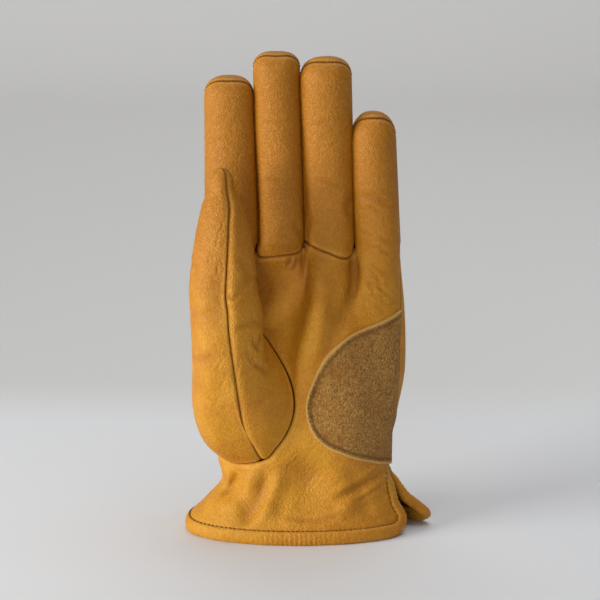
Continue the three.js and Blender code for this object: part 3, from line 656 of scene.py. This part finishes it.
def turned_in(gap):
    """How far a sewn edge rolls down to its seam over its last millimetre."""
    short = np.clip(1 - gap, 0, 1)
    return 0.45 * (1 - np.sqrt(np.maximum(0, 1 - short * short)))


def drawn_in(gap, depth=0.7, width=3.4):
    """How far the leather beside a tight seam is drawn down toward it."""
    return depth * np.clip(1 - gap / width, 0, 1) ** 2


def smooth_mesh(name, points, faces, material):
    mesh = bpy.data.meshes.new(name)
    mesh.from_pydata(points, [], faces)
    mesh.polygons.foreach_set("use_smooth", [True] * len(faces))
    mesh.materials.append(material)
    return mesh


def in_scene(name, data):
    thing = bpy.data.objects.new(name, data)
    bpy.context.scene.collection.objects.link(thing)
    return thing


def new_piece(name, points, faces, values, material, sharp=()):
    """A piece from points in millimetres on the form, with named values at its points."""
    places = ((points + FORM_ORIGIN) * MM).tolist()
    mesh = smooth_mesh(name, places, [list(f) for f in faces], material)
    for title, numbers in values.items():
        mesh.attributes.new(title, "FLOAT", "POINT").data.foreach_set("value", numbers.astype(np.float32))
    if len(sharp):
        wanted = {tuple(sorted(pair)) for pair in sharp}
        keys = np.zeros(len(mesh.edges) * 2, np.int32)
        mesh.edges.foreach_get("vertices", keys)
        flags = [tuple(sorted(pair)) in wanted for pair in keys.reshape(-1, 2).tolist()]
        mesh.attributes.new("sharp_edge", "BOOLEAN", "EDGE").data.foreach_set("value", flags)
    piece = in_scene(name, mesh)
    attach(piece, "root")
    return piece


def wall(outer, inner, faces):
    """A closed wall over outer and inner points, with a rim along its free edges, which are sharp."""
    n = len(outer)
    sides = np.stack([faces, np.roll(faces, -1, axis=1)], axis=2).reshape(-1, 2)
    forward = set(map(tuple, sides.tolist()))
    free = [(a, b) for a, b in forward if (b, a) not in forward]
    rim = [(a, n + a, n + b, b) for a, b in sorted(free)]
    inside = faces[:, ::-1] + n
    sharp = free + [(n + a, n + b) for a, b in free]
    return np.concatenate([outer, inner]), faces.tolist() + inside.tolist() + rim, sharp


def wall_values(seam, crease, raw_edge):
    """What a finish reads at a wall's points. The outer points come first, then the inner ones."""
    return {
        "seam": np.tile(seam, 2),
        "crease": np.tile(crease, 2),
        "inside": np.repeat([0.0, 1.0], len(seam)),
        "raw_edge": np.tile(raw_edge, 2),
    }


def laid_piece(node, at, out, height, faces, values, material):
    """One thickness of leather over the form, its outer face at a height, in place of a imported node."""
    outer = at + out * height[:, None]
    inner = at + out * (height - LEATHER)[:, None]
    points, all_faces, sharp = wall(outer, inner, faces)
    piece = new_piece(node + "_panel", points, all_faces, values, material, sharp)
    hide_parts(node)
    return piece


def grid_corners(rows, columns):
    """Numbered points in rows and columns, and the four corners of every cell."""
    k = np.arange(rows * columns).reshape(rows, columns)
    return k, (k[:-1, :-1].ravel(), k[:-1, 1:].ravel(), k[1:, 1:].ravel(), k[1:, :-1].ravel())


def panel(node, parts, side, folds, material, step, seed, holes=(), lift=0.0):
    """A cut piece laid on the body: its edges turned in at the seams, and its folds pressed in."""
    points, faces, sewn = flat_mesh(parts, list(holes), step)
    at, out = on_body(side, points)
    if side > 0:
        faces = faces[:, ::-1]
    edge_count = len(sewn)
    outline = at[:edge_count][sewn]
    seam = np.concatenate([outline, at[edge_count:edge_count + sum(map(len, holes))]])
    raw = at[:edge_count][~sewn]
    gap = nearest(at, seam)[0]
    height, crease = fold_height(at, out, folds)
    height += slack(at, seed) * smooth(gap, 0, 6)
    height *= smooth(gap, -0.5, 3) * smooth(at[:, 2], HEM_EDGE + LIP - 1, HEM_EDGE + LIP + 5)
    height = height - turned_in(gap) - drawn_in(nearest(at, outline)[0]) + lift
    values = wall_values(gap, crease, nearest(at, raw)[0])
    return laid_piece(node, at, out, height, faces, values, material)


# ---- Thumb ----

THUMB_BASE = 120  # height of its first level ring
THUMB_TOP = 188.5
THUMB_CAP = 8  # height of its round end
THUMB_X = profile((THUMB_BASE, -35.2), (131, -36.4), (157, -36.1), (THUMB_TOP, -37.2))
THUMB_Y = profile((THUMB_BASE, -36), (160, -37), (THUMB_TOP, -34))
THUMB_WIDTH = profile((THUMB_BASE, 17.2), (131, 16.1), (144, 14.9), (157, 13), (171, 9.5),
                      (THUMB_TOP - THUMB_CAP, 5.8))
THUMB_DEPTH = profile((THUMB_BASE, 14.2), (150, 12.6), (168, 9.8), (THUMB_TOP - THUMB_CAP, 6.6))
# How steeply the thumb leaves the palm round its hole, in degrees.
THUMB_RISE = profile((0, 44), (0.25, 62), (0.5, 85), (0.7, 6), (0.8, 10), (0.9, 62), (1, 44))
ROOT_END = 0.55  # share of the thumb's length that is its root
TIP_START = 0.88  # share at which its tip starts to close
THUMB_COLUMNS, THUMB_ROWS = 170, 150
# How far round the thumb its own seam drifts on the way up, as a share of a turn.
SEAM_DRIFT = profile((0, 0), (0.26, 0.05), (ROOT_END, 0.013), (0.66, 0.02), (0.77, 0.036),
                     (TIP_START, 0.09), (1, 0.1))


def thumb_ring(share, z, scale=1, lift=0):
    turn = 2 * math.pi * share
    x = THUMB_X(z) + THUMB_WIDTH(z) * scale * np.sin(turn)
    y = THUMB_Y(z) - THUMB_DEPTH(z) * scale * np.cos(turn)
    return np.stack([x, y, z + lift], axis=1)


def thumb_line(share, t):
    """From the hole in the palm to the first level ring."""
    place = share % 1
    hole = thumb_hole(place)
    start, out = on_body(-1, hole)
    ahead, _ = on_body(-1, thumb_hole((place + 0.002) % 1))
    inward = unit(np.cross(out, ahead - start))
    rise = np.radians(THUMB_RISE(place))[:, None]
    end = thumb_ring(share, np.full_like(share, THUMB_BASE))
    length = np.linalg.norm(end - start, axis=1)[:, None]
    start = start + inward * 2 * SEAM_SLACK
    leave = out * np.sin(rise) + inward * np.cos(rise)
    return between(t[:, None], start, end, leave, np.array([0, 0, 1]), length)


def thumb_root(share, t):
    """The same lines, each blended with its neighbours where the hole turns sharply at its lower left."""
    ease = smooth(share, 0.66, 0.76) * smooth(-share, -0.95, -0.87) * smooth(t, 0, 0.12)
    blend = [(-1, 1), (-0.5, 4), (0, 6), (0.5, 4), (1, 1)]
    return sum(thumb_line(share + step * 0.04 * ease, t) * weight / 16 for step, weight in blend)


def thumb_point(from_seam, t):
    share = from_seam + SEAM_DRIFT(t)
    shoulder = THUMB_TOP - THUMB_CAP
    angle = np.clip((t - TIP_START) / (1 - TIP_START), 0, 1) * math.pi / 2
    climb = np.clip((t - ROOT_END) / (TIP_START - ROOT_END), 0, 1)
    z = THUMB_BASE + (shoulder - THUMB_BASE) * climb
    above = thumb_ring(share, z, np.cos(angle), THUMB_CAP * np.sin(angle))
    root = thumb_root(share, np.clip(t / ROOT_END, 0, 1))
    return np.where((t < ROOT_END)[:, None], root, above)


def on_thumb(share, t):
    """Where places on the thumb are, and the outward direction there."""
    span = 0.004
    at = thumb_point(share, t)
    along = thumb_point(share, np.minimum(t + span, 1)) - thumb_point(share, np.maximum(t - span, 0))
    round_it = thumb_point(share + span, t) - thumb_point(share - span, t)
    return at, unit(np.cross(round_it, along))


def toward_ends(count, share):
    """Numbers from 0 to 1 that lie closer together near both ends."""
    t = np.linspace(0, 1, count)
    return t - share * np.sin(2 * math.pi * t) / (2 * math.pi) * 2


def make_thumb(material):
    """One piece rolled into a tube: its own seam is a slit up its front, and its tip is closed."""
    slit = SEAM_SLACK / 80
    t = np.linspace(0, 1, THUMB_ROWS)
    t = np.concatenate([[0, 0.002, 0.005, 0.009], t[2:-1]]) * 0.992
    across = toward_ends(THUMB_COLUMNS + 1, 0.42)
    grid_t, grid_s = np.meshgrid(t, across, indexing="ij")
    share = slit * (1 + 2 * grid_t) + grid_s * (1 - 2 * slit * (1 + 2 * grid_t))
    at, out = on_thumb(share.ravel(), grid_t.ravel())
    tip = thumb_point(np.array([0.0]), np.array([1.0]))
    at = np.concatenate([at, tip])
    out = np.concatenate([out, [(0, 0, 1)]])
    k, (a, b, c, d) = grid_corners(len(t), THUMB_COLUMNS + 1)
    last = np.stack([k[-1, :-1], k[-1, 1:], np.full(THUMB_COLUMNS, len(at) - 1)], 1)
    faces = np.concatenate([np.stack([a, b, c], 1), np.stack([a, c, d], 1), last])
    seam = at[np.unique(np.concatenate([k[0], k[:, 0], k[:, -1]]))]
    gap = nearest(at, seam)[0]
    near_tip = smooth(at[:, 2], THUMB_TOP - 5, THUMB_TOP)
    own_seam = nearest(at, at[k[:, 0]])[0]
    crest = 1.4 * np.exp(-own_seam / 8) * smooth(at[:, 2], 52, 80) * smooth(-at[:, 2], -178, -150)
    height, crease = fold_height(at, out, THUMB_FOLDS)
    height += slack(at, 41) * smooth(gap, 0, 6)
    down = turned_in(gap) + drawn_in(own_seam, 1.1, 4)
    height = height * smooth(gap, -0.5, 3) + crest - down * (1 - near_tip)
    values = wall_values(gap, crease, np.full(len(at), FAR_OFF))
    return laid_piece("thumb", at, out, height, faces, values, material)


# ---- Hem ----

BINDING_END = 30  # height at which the binding ends on both edges of the vent
# The rolled section of the hem's strip: how far out from the panel's outer face, and how far in from the
# panel's edge, as a share of the lip. It goes from the seam down the outside and up the inside.
ROLL = [(0.05, 1.1), (0.9, 1.06), (1.7, 0.9), (2.15, 0.6), (2.15, 0.25), (1.75, -0.05), (0.9, -0.28),
        (-2.1, -0.28), (-2.9, -0.05), (-3.2, 0.3), (-3.05, 0.7), (-2.5, 0.98), (-1.5, 1.05)]


def cuff_line():
    """The cuff's edge, from the binding's end on the vent's front edge, along the hem, round the back and
    up the vent's other edge: each point on the body, the way out, the way in, and the distance along."""
    front = vent_corner(VENT_FRONT)
    rear = vent_corner(back_edge)
    front_edge = np.concatenate([
        up_seam(VENT_FRONT, BINDING_END, HEM_EDGE + CORNER)[:-1], front[::-1][:-1],
        along_hem(front[0, 0], HEM_START),
    ])
    rear_edge = np.concatenate([
        along_hem(-HEM_START, rear[0, 0])[:-1], rear[:-1],
        up_seam(back_edge, HEM_EDGE + CORNER, BINDING_END),
    ])
    spots, outs, ins = [], [], []
    for side, edge, turn in ((-1, front_edge, -1), (1, rear_edge, 1)):
        edge = even_line(edge, 0.9)
        at, out = on_body(side, edge)
        lip = edge + turn * LIP * to_left(edge)
        spots.append(at)
        outs.append(out)
        ins.append(on_body(side, lip)[0] - at)
    spots, outs, ins = (np.concatenate([a[:-1], b]) for a, b in (spots, outs, ins))
    return spots, outs, unit(ins), distance_along(spots)


def softened(values):
    """Values along a line, each eased toward its neighbours three times."""
    for _ in range(3):
        padded = np.concatenate([values[:1], values, values[-1:]])
        values = (padded[:-2] + 2 * padded[1:-1] + padded[2:]) / 4
    return values


def make_hem(material):
    """The rolled strip, puckered between its stitches and pressed flatter at its two ends."""
    spots, outs, ins, along = cuff_line()
    outs = unit(softened(outs))
    ins = unit(softened(ins))
    outer_line = spline(ROLL)(np.linspace(0, 1, 30)) * (1, LIP)
    inner_line = outer_line - to_left(outer_line) * 0.9
    r = np.random.default_rng(51)
    stitch = np.cumsum(2.1 + 0.5 * r.random(400))
    spread = np.abs(along[:, None] - stitch).min(1)
    pucker = 0.16 * np.cos(np.clip(spread / 1.1, 0, 1) * math.pi) + 0.12 * np.sin(along * 0.31 + 1)
    full = 0.35 + 0.65 * (smooth(along, 0, 8) * smooth(along[-1] - along, 0, 8))[:, None]
    skins = []
    for line, share, floor in ((outer_line, 1.0, 0.0), (inner_line, 0.2, 0.9)):
        swell = share * pucker[:, None] * np.sin(np.linspace(0, math.pi, len(line)))
        sideways = (line[:, 0] + 0.6 + np.where(line[:, 0] > -0.6, 1, -1) * swell) * full - 0.6
        grid = spots[:, None] + outs[:, None] * sideways[..., None] + ins[:, None] * line[:, 1, None]
        grid[..., 2] = np.maximum(grid[..., 2], floor)
        skins.append(grid.reshape(-1, 3))
    n, m = len(along), len(outer_line)
    _, corners = grid_corners(n, m)
    points, faces, _ = wall(*skins, np.stack(corners[::-1], 1))
    # As crease values, these give darker dots at the stitches, on the roll's seam side.
    crease = np.exp(-(spread / 0.5) ** 2)[:, None] * np.linspace(1, 0, m) ** 4
    # As seam values, the strip's two edges take the seam's painted shade, with the painted highlight just
    # inside them.
    edge = np.minimum(np.arange(m), m - 1 - np.arange(m)) * 0.45 + 0.3
    values = wall_values(np.tile(edge, n), crease.ravel() * 0.5, np.full(n * m, FAR_OFF))
    piece = new_piece("hem_strip", points, faces, values, material)
    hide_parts("hem_binding")
    return piece


# ---- Thread ----

def stitches(name, lines, material, pitch, length, thick, sink):
    """Separate stitches of thread along lines. Each line gives points and the way out at each."""
    r = np.random.default_rng(61)
    points, faces = [], []
    rings, sides = 5, 6
    for spots, outs in lines:
        along = distance_along(spots)

        def at(values, place):
            return np.stack([np.interp(place, along, column) for column in values.T], axis=-1)

        place = pitch * 0.6
        while place < along[-1] - pitch * 0.6:
            half = length / 2 * (0.9 + 0.2 * r.random())
            skew = r.normal() * 0.05
            t = np.linspace(-1, 1, rings)
            centre = at(spots, place + t * half)
            out = unit(at(outs, place + t * half))
            way = unit(np.gradient(centre, axis=0))
            side = unit(np.cross(way, out))
            hump = thick / 2 * (1 - t**4) - thick * 0.75 * t**4 - sink
            centre = centre + out * hump[:, None] + side * (skew * t)[:, None]
            radius = thick / 2 * np.sqrt(np.maximum(0.12, 1 - 0.8 * t**4))
            base = len(points)
            for k in range(rings):
                for turn in np.arange(sides) * 2 * math.pi / sides:
                    round_it = side[k] * math.cos(turn) + out[k] * math.sin(turn)
                    points.append(centre[k] + radius[k] * round_it)
            for k in range(rings - 1):
                for j in range(sides):
                    here, there = base + k * sides, base + (k + 1) * sides
                    faces.append((here + j, here + (j + 1) % sides, there + (j + 1) % sides, there + j))
            faces.append(tuple(base + j for j in range(sides))[::-1])
            faces.append(tuple(base + (rings - 1) * sides + j for j in range(sides)))
            place += pitch * (0.93 + 0.14 * r.random())
    return new_piece(name, np.array(points), faces, {}, material)


def palm_line(line, out_by):
    at, out = on_body(-1, line)
    return at + out * out_by, out


def hem_stitches(material):
    spots, outs, ins, _ = cuff_line()
    outside = spots + ins * LIP * 1.14 + outs * 0.3
    inside = spots + ins * LIP * 1.08 - outs * (LEATHER + 0.3)
    lines = [(outside, outs), (inside, -outs)]
    return stitches("hem_stitches", lines, material, pitch=2.4, length=1.35, thick=0.55, sink=0.05)


def patch_stitches(material):
    edge = drawn_seam(PATCH_EDGE, 300, 0.5)
    line = (edge + 2.6 * to_left(edge))[6:-6]
    lines = [palm_line(line, LEATHER + 0.35)]
    return stitches("patch_stitches", lines, material, pitch=2.3, length=1.5, thick=0.55, sink=0.12)


def tip_stitches(material):
    lines = [palm_line(tip_seam(i, -TIP_LAP)[4:-4], -0.25) for i in range(4)]
    return stitches("tip_stitches", lines, material, pitch=1.7, length=0.95, thick=0.5, sink=0.1)


# ---- Finishes ----

def plug(tree, spot, value):
    """Give a socket another one's output, or a plain number or colour."""
    if isinstance(value, Value):
        tree.links.new(value.socket, spot)
    else:
        spot.default_value = value


class Value:
    """A socket with arithmetic: an expression on values adds its Math nodes."""

    def __init__(self, tree, socket):
        self.tree, self.socket = tree, socket

    def math(self, operation, *values):
        node = self.tree.nodes.new("ShaderNodeMath")
        node.operation = operation
        for spot, value in zip(node.inputs, values):
            plug(self.tree, spot, value)
        return Value(self.tree, node.outputs[0])

    def __add__(self, other):
        return self.math("ADD", self, other)

    __radd__ = __add__

    def __sub__(self, other):
        return self.math("SUBTRACT", self, other)

    def __rsub__(self, other):
        return self.math("SUBTRACT", other, self)

    def __mul__(self, other):
        return self.math("MULTIPLY", self, other)

    __rmul__ = __mul__

    def clamp(self):
        return self.math("MINIMUM", self.math("MAXIMUM", self, 0.0), 1.0)

    def band(self, low, high):
        """0 below low, 1 above high, even between; the other way round if high is the smaller."""
        return ((self - low) * (1 / (high - low))).clamp()


class Finish:
    """A material with one Principled shader, built from values."""

    def __init__(self, name, roughness=0.5, **fixed):
        self.material = bpy.data.materials.new(name)
        self.material.use_nodes = True
        self.tree = self.material.node_tree
        self.shader = self.tree.nodes["Principled BSDF"]
        self.shader.inputs["Roughness"].default_value = roughness
        for title, value in fixed.items():
            self.shader.inputs[title.replace("_", " ")].default_value = value
        self.mm = self.scaled(self.node("ShaderNodeTexCoord", output="Object"), 1000)

    def node(self, kind, settings=(), output=0, **values):
        node = self.tree.nodes.new(kind)
        for title, value in dict(settings).items():
            setattr(node, title, value)
        for title, value in values.items():
            spots = {s.identifier: s for s in node.inputs}
            plug(self.tree, spots.get(title) or node.inputs[title.replace("_", " ")], value)
        return Value(self.tree, node.outputs[output])

    def scaled(self, vector, by):
        by = by if isinstance(by, tuple) else (by, by, by)
        return self.node("ShaderNodeVectorMath", {"operation": "MULTIPLY"}, Vector=vector, Vector_001=by)

    def mixed(self, mask, first, second):
        return self.node("ShaderNodeMix", {"data_type": "RGBA"}, output="Result", Factor_Float=mask,
                         A_Color=first, B_Color=second)

    def layered(self, colour, *layers):
        """Paint laid over a colour, each layer through its own mask."""
        for mask, tone in layers:
            colour = self.mixed(mask, colour, paint(*tone))
        return colour

    def axis(self, letter):
        """How far along one axis a place is, in millimetres."""
        return self.node("ShaderNodeSeparateXYZ", output=letter, Vector=self.mm)

    def noise(self, size, detail=3.0, roughness=0.5, stretch=(1, 1, 1)):
        """Even noise whose patches are about size millimetres across."""
        where = self.scaled(self.mm, tuple(s / size for s in stretch))
        return self.node("ShaderNodeTexNoise", Vector=where, Scale=1.0, Detail=detail,
                         Roughness=roughness)

    def cells(self, size, feature, where):
        """Distances in a pattern of cells about size millimetres across."""
        return self.node("ShaderNodeTexVoronoi", {"feature": feature}, output="Distance",
                         Vector=self.scaled(where, 1 / size), Scale=1.0)

    def value(self, title):
        return self.node("ShaderNodeAttribute", {"attribute_name": title}, output="Fac")

    def bumped(self, height, distance, strength):
        bump = self.node("ShaderNodeBump", Height=height, Strength=strength, Distance=distance)
        plug(self.tree, self.shader.inputs["Normal"], bump)

    def set(self, **values):
        for title, value in values.items():
            plug(self.tree, self.shader.inputs[title.replace("_", " ")], value)
        return self.material


def paint(red, green, blue):
    """A colour from its everyday 0 to 255 values."""
    tones = [c / 255 for c in (red, green, blue)]
    return tuple(c / 12.92 if c < 0.04045 else ((c + 0.055) / 1.055) ** 2.4 for c in tones) + (1.0,)


def grain_leather():
    """Golden-tan grain leather: pebbled and mottled, with painted shade in its seams and creases, up the
    fingers and on its inner face, and a painted highlight beside each seam.
    """
    f = Finish("grain_leather", Specular_IOR_Level=0.34)
    sway = f.node("ShaderNodeTexNoise", output="Color", Vector=f.scaled(f.mm, 0.5), Scale=1.0, Detail=2.0)
    warped = f.node("ShaderNodeVectorMath", {"operation": "ADD"}, Vector=f.mm,
                    Vector_001=f.scaled(sway, 1.1))
    pebble = f.cells(1.15, "SMOOTH_F1", warped)
    gaps = f.cells(1.15, "DISTANCE_TO_EDGE", warped)
    broad, cloudy, fine = f.noise(38, 2), f.noise(9, 4, 0.6), f.noise(1.8, 4, 0.6)
    seam, crease, inside = f.value("seam"), f.value("crease"), f.value("inside")
    colour = f.mixed(broad.band(0.38, 0.62), paint(202, 140, 25), paint(191, 123, 17))
    colour = f.layered(
        colour,
        (cloudy.band(0.42, 0.7) * 0.5, (219, 159, 48)),
        (f.axis("Z").band(112, 170) * 0.85, (168, 105, 12)),  # painted shade: darker up the fingers, where less light falls
        (fine.band(0.48, 0.7) * 0.25, (160, 94, 14)),
        (fine.band(0.5, 0.3) * 0.2, (220, 162, 58)),
        (gaps.band(0.12, 0.0) * 0.22, (132, 76, 14)),
        # painted shade in the creases; on the hem strip the same value gives darker dots at its stitches
        ((crease * 0.42).clamp(), (148, 88, 20)),
        (seam.band(3.0, 1.2) * seam.band(0.5, 1.2) * 0.3, (226, 168, 70)),  # painted highlight on the rolled edges beside a seam
        # painted shade in the seam grooves
        (seam.band(0.9, 0.1) * 0.6, (138, 80, 18)),
    )
    # The inner face is the flesh side, painted dark as shade inside the glove and under the vent flap.
    flesh = f.mixed(f.noise(2.2, 4).band(0.35, 0.65), paint(108, 70, 30), paint(80, 50, 20))
    colour = f.mixed(inside, colour, flesh)
    rough = 0.42 + cloudy * 0.12 + fine * 0.12 + inside * 0.4 + seam.band(0.9, 0.2) * 0.4
    height = pebble * -0.9 + gaps.band(0.0, 0.22) * 0.5 + fine + f.noise(4.2, 3) * 2.0
    f.bumped(height, 0.00022, 0.9)
    return f.set(Base_Color=colour, Roughness=rough.clamp())


def suede():
    """The rough flesh side of the hide, matted and speckled, with a pale cut edge."""
    f = Finish("suede", roughness=0.95, Specular_IOR_Level=0.12, Sheen_Weight=0.1, Sheen_Roughness=0.6)
    nap = f.noise(2.6, 6, 0.8)
    tufts = f.noise(0.9, 4, 0.75, stretch=(1.2, 1.2, 0.8))
    broad = f.noise(16, 3)
    raw, inside, seam = f.value("raw_edge"), f.value("inside"), f.value("seam")
    colour = f.mixed(nap.band(0.38, 0.62), paint(138, 92, 34), paint(184, 134, 62))
    colour = f.layered(
        colour,
        (tufts.band(0.5, 0.64) * 0.8, (218, 174, 98)),
        (tufts.band(0.46, 0.34) * 0.85, (92, 58, 18)),
        (broad.band(0.45, 0.65) * 0.4, (158, 100, 36)),
        (raw.band(1.4, 2.0) * raw.band(3.6, 2.9) * 0.5, (104, 72, 30)),  # pressed in by the stitches
        (raw.band(1.35, 0.8) * 0.9, (218, 172, 96)),
        # painted shade at the seam
        (seam.band(0.9, 0.1) * 0.8, (84, 48, 16)),
        (inside * 0.3, (170, 126, 72)),
    )
    f.bumped(nap + tufts * 0.8, 0.0009, 1.0)
    return f.set(Base_Color=colour)


def thread():
    """Twisted tan thread, darkened with handling."""
    f = Finish("thread", roughness=0.6, Specular_IOR_Level=0.35)
    fibre = f.noise(0.5, 3, 0.6)
    twist = f.node("ShaderNodeTexWave", {"bands_direction": "DIAGONAL"}, output="Fac",
                   Vector=f.mm, Scale=1.3, Distortion=1.0)
    colour = f.mixed(fibre.band(0.35, 0.65), paint(146, 98, 32), paint(118, 75, 23))
    f.bumped(twist + fibre * 0.4, 0.00012, 0.7)
    return f.set(Base_Color=colour, Roughness=0.55 + fibre * 0.15)


# ---- Camera, floor and light ----

def aim(thing, at):
    thing.rotation_euler = (Vector(at) - thing.location).to_track_quat("-Z", "Y").to_euler()


def make_camera():
    data = bpy.data.cameras.new("camera")
    data.sensor_width = 36
    data.lens = 146.94
    data.clip_start = 0.05
    camera = in_scene("camera", data)
    target = (np.array([0, 0, 116.0]) + FORM_ORIGIN) * MM
    elevation, distance = math.radians(14), 1.2
    camera.location = target + distance * np.array([0, -math.cos(elevation), math.sin(elevation)])
    aim(camera, target)
    bpy.context.scene.camera = camera


def make_floor():
    """A pale floor, a little greyer behind the glove, that curves up into a far wall. Its grey has
    painted shade toward the left and painted light further back, which even out how the lamps fall on it.
    """
    f = Finish("studio_paper", roughness=0.9, Specular_IOR_Level=0.1)
    away = f.axis("Y")
    paper = f.mixed(f.noise(400, 2), paint(223, 225, 229), paint(225, 227, 231))
    # painted shade: the grey is darker to the left, evening out the key lamp's extra light there
    grey_painted_shade_left = f.mixed(f.axis("X").band(-250, 250), paint(208, 208, 209), paint(223, 224, 224))
    # painted light: lighter further back, where the lamps' light falls off
    distant_painted_light = f.mixed(away.band(300, 1300), grey_painted_shade_left, paint(221, 221, 221))
    finish = f.set(Base_Color=f.mixed(away.band(190, 270), paper, distant_painted_light))
    reach, height, rise_at, bend = 4.0, 3.0, 1.3, 0.5
    turn = np.linspace(0, math.pi / 2, 14)
    curve = zip(rise_at + bend * np.sin(turn), bend - bend * np.cos(turn))
    line = [(-reach, 0.0), *curve, (rise_at + bend, height)]
    points = [(x, y, z) for y, z in line for x in (-reach, reach)]
    faces = [(2 * k, 2 * k + 1, 2 * k + 3, 2 * k + 2) for k in range(len(line) - 1)]
    in_scene("floor", smooth_mesh("floor", points, faces, finish))


def softbox(name, place, at, power, width, height, colour=(1, 1, 1)):
    data = bpy.data.lights.new(name, "AREA")
    data.shape = "RECTANGLE"
    data.size, data.size_y = width, height
    data.energy = power
    data.color = colour
    lamp = in_scene(name, data)
    lamp.location = place
    aim(lamp, at)


def make_lights():
    middle = (0, 0, 0.12)
    softbox("key", (-1.35, -0.66, 0.36), (0, 0, 0.06), 24, 0.8, 0.6, (1, 1, 0.94))
    softbox("front", (-0.35, -1.45, 0.35), middle, 4.4, 0.7, 0.5)
    softbox("overhead", (0.3, -0.15, 1.6), middle, 7.2, 1.2, 1.0)
    softbox("backdrop", (0, 1.0, 1.8), (0, 0.95, 0), 9, 2.0, 0.8)
    world = bpy.data.worlds.new("studio")
    world.use_nodes = True
    world.node_tree.nodes["Background"].inputs["Color"].default_value = (0.84, 0.81, 0.79, 1)
    world.node_tree.nodes["Background"].inputs["Strength"].default_value = 0.2
    bpy.context.scene.world = world
    bpy.context.scene.view_settings.view_transform = "Standard"


# ---- The glove ----

def make_glove():
    leather, nap, yarn = grain_leather(), suede(), thread()
    hole = even_line(thumb_hole(np.linspace(0, 1, 800)), FINE)[:-1]
    step = 1.0
    back = panel("back", back_outline(), 1, BACK_FOLDS, leather, 1.15 * step, seed=71)
    palm = panel("palm", palm_outline(), -1, PALM_FOLDS, leather, step, seed=72, holes=[hole])
    middle = panel("middle_front", front_outline(1), -1, MIDDLE_FOLDS, leather, step, seed=73)
    ring = panel("ring_front", front_outline(2), -1, RING_FOLDS, leather, step, seed=74)
    thumb = make_thumb(leather)
    patch = panel("heel_patch", patch_outline(), -1, PALM_FOLDS + PATCH_FOLDS, nap, 0.7 * step,
                  seed=72, lift=LEATHER + 0.1)
    hem = make_hem(leather)
    hem_thread = hem_stitches(yarn)
    patch_thread = patch_stitches(yarn)
    tip_thread = tip_stitches(yarn)


make_camera()
make_floor()
make_lights()
make_glove()
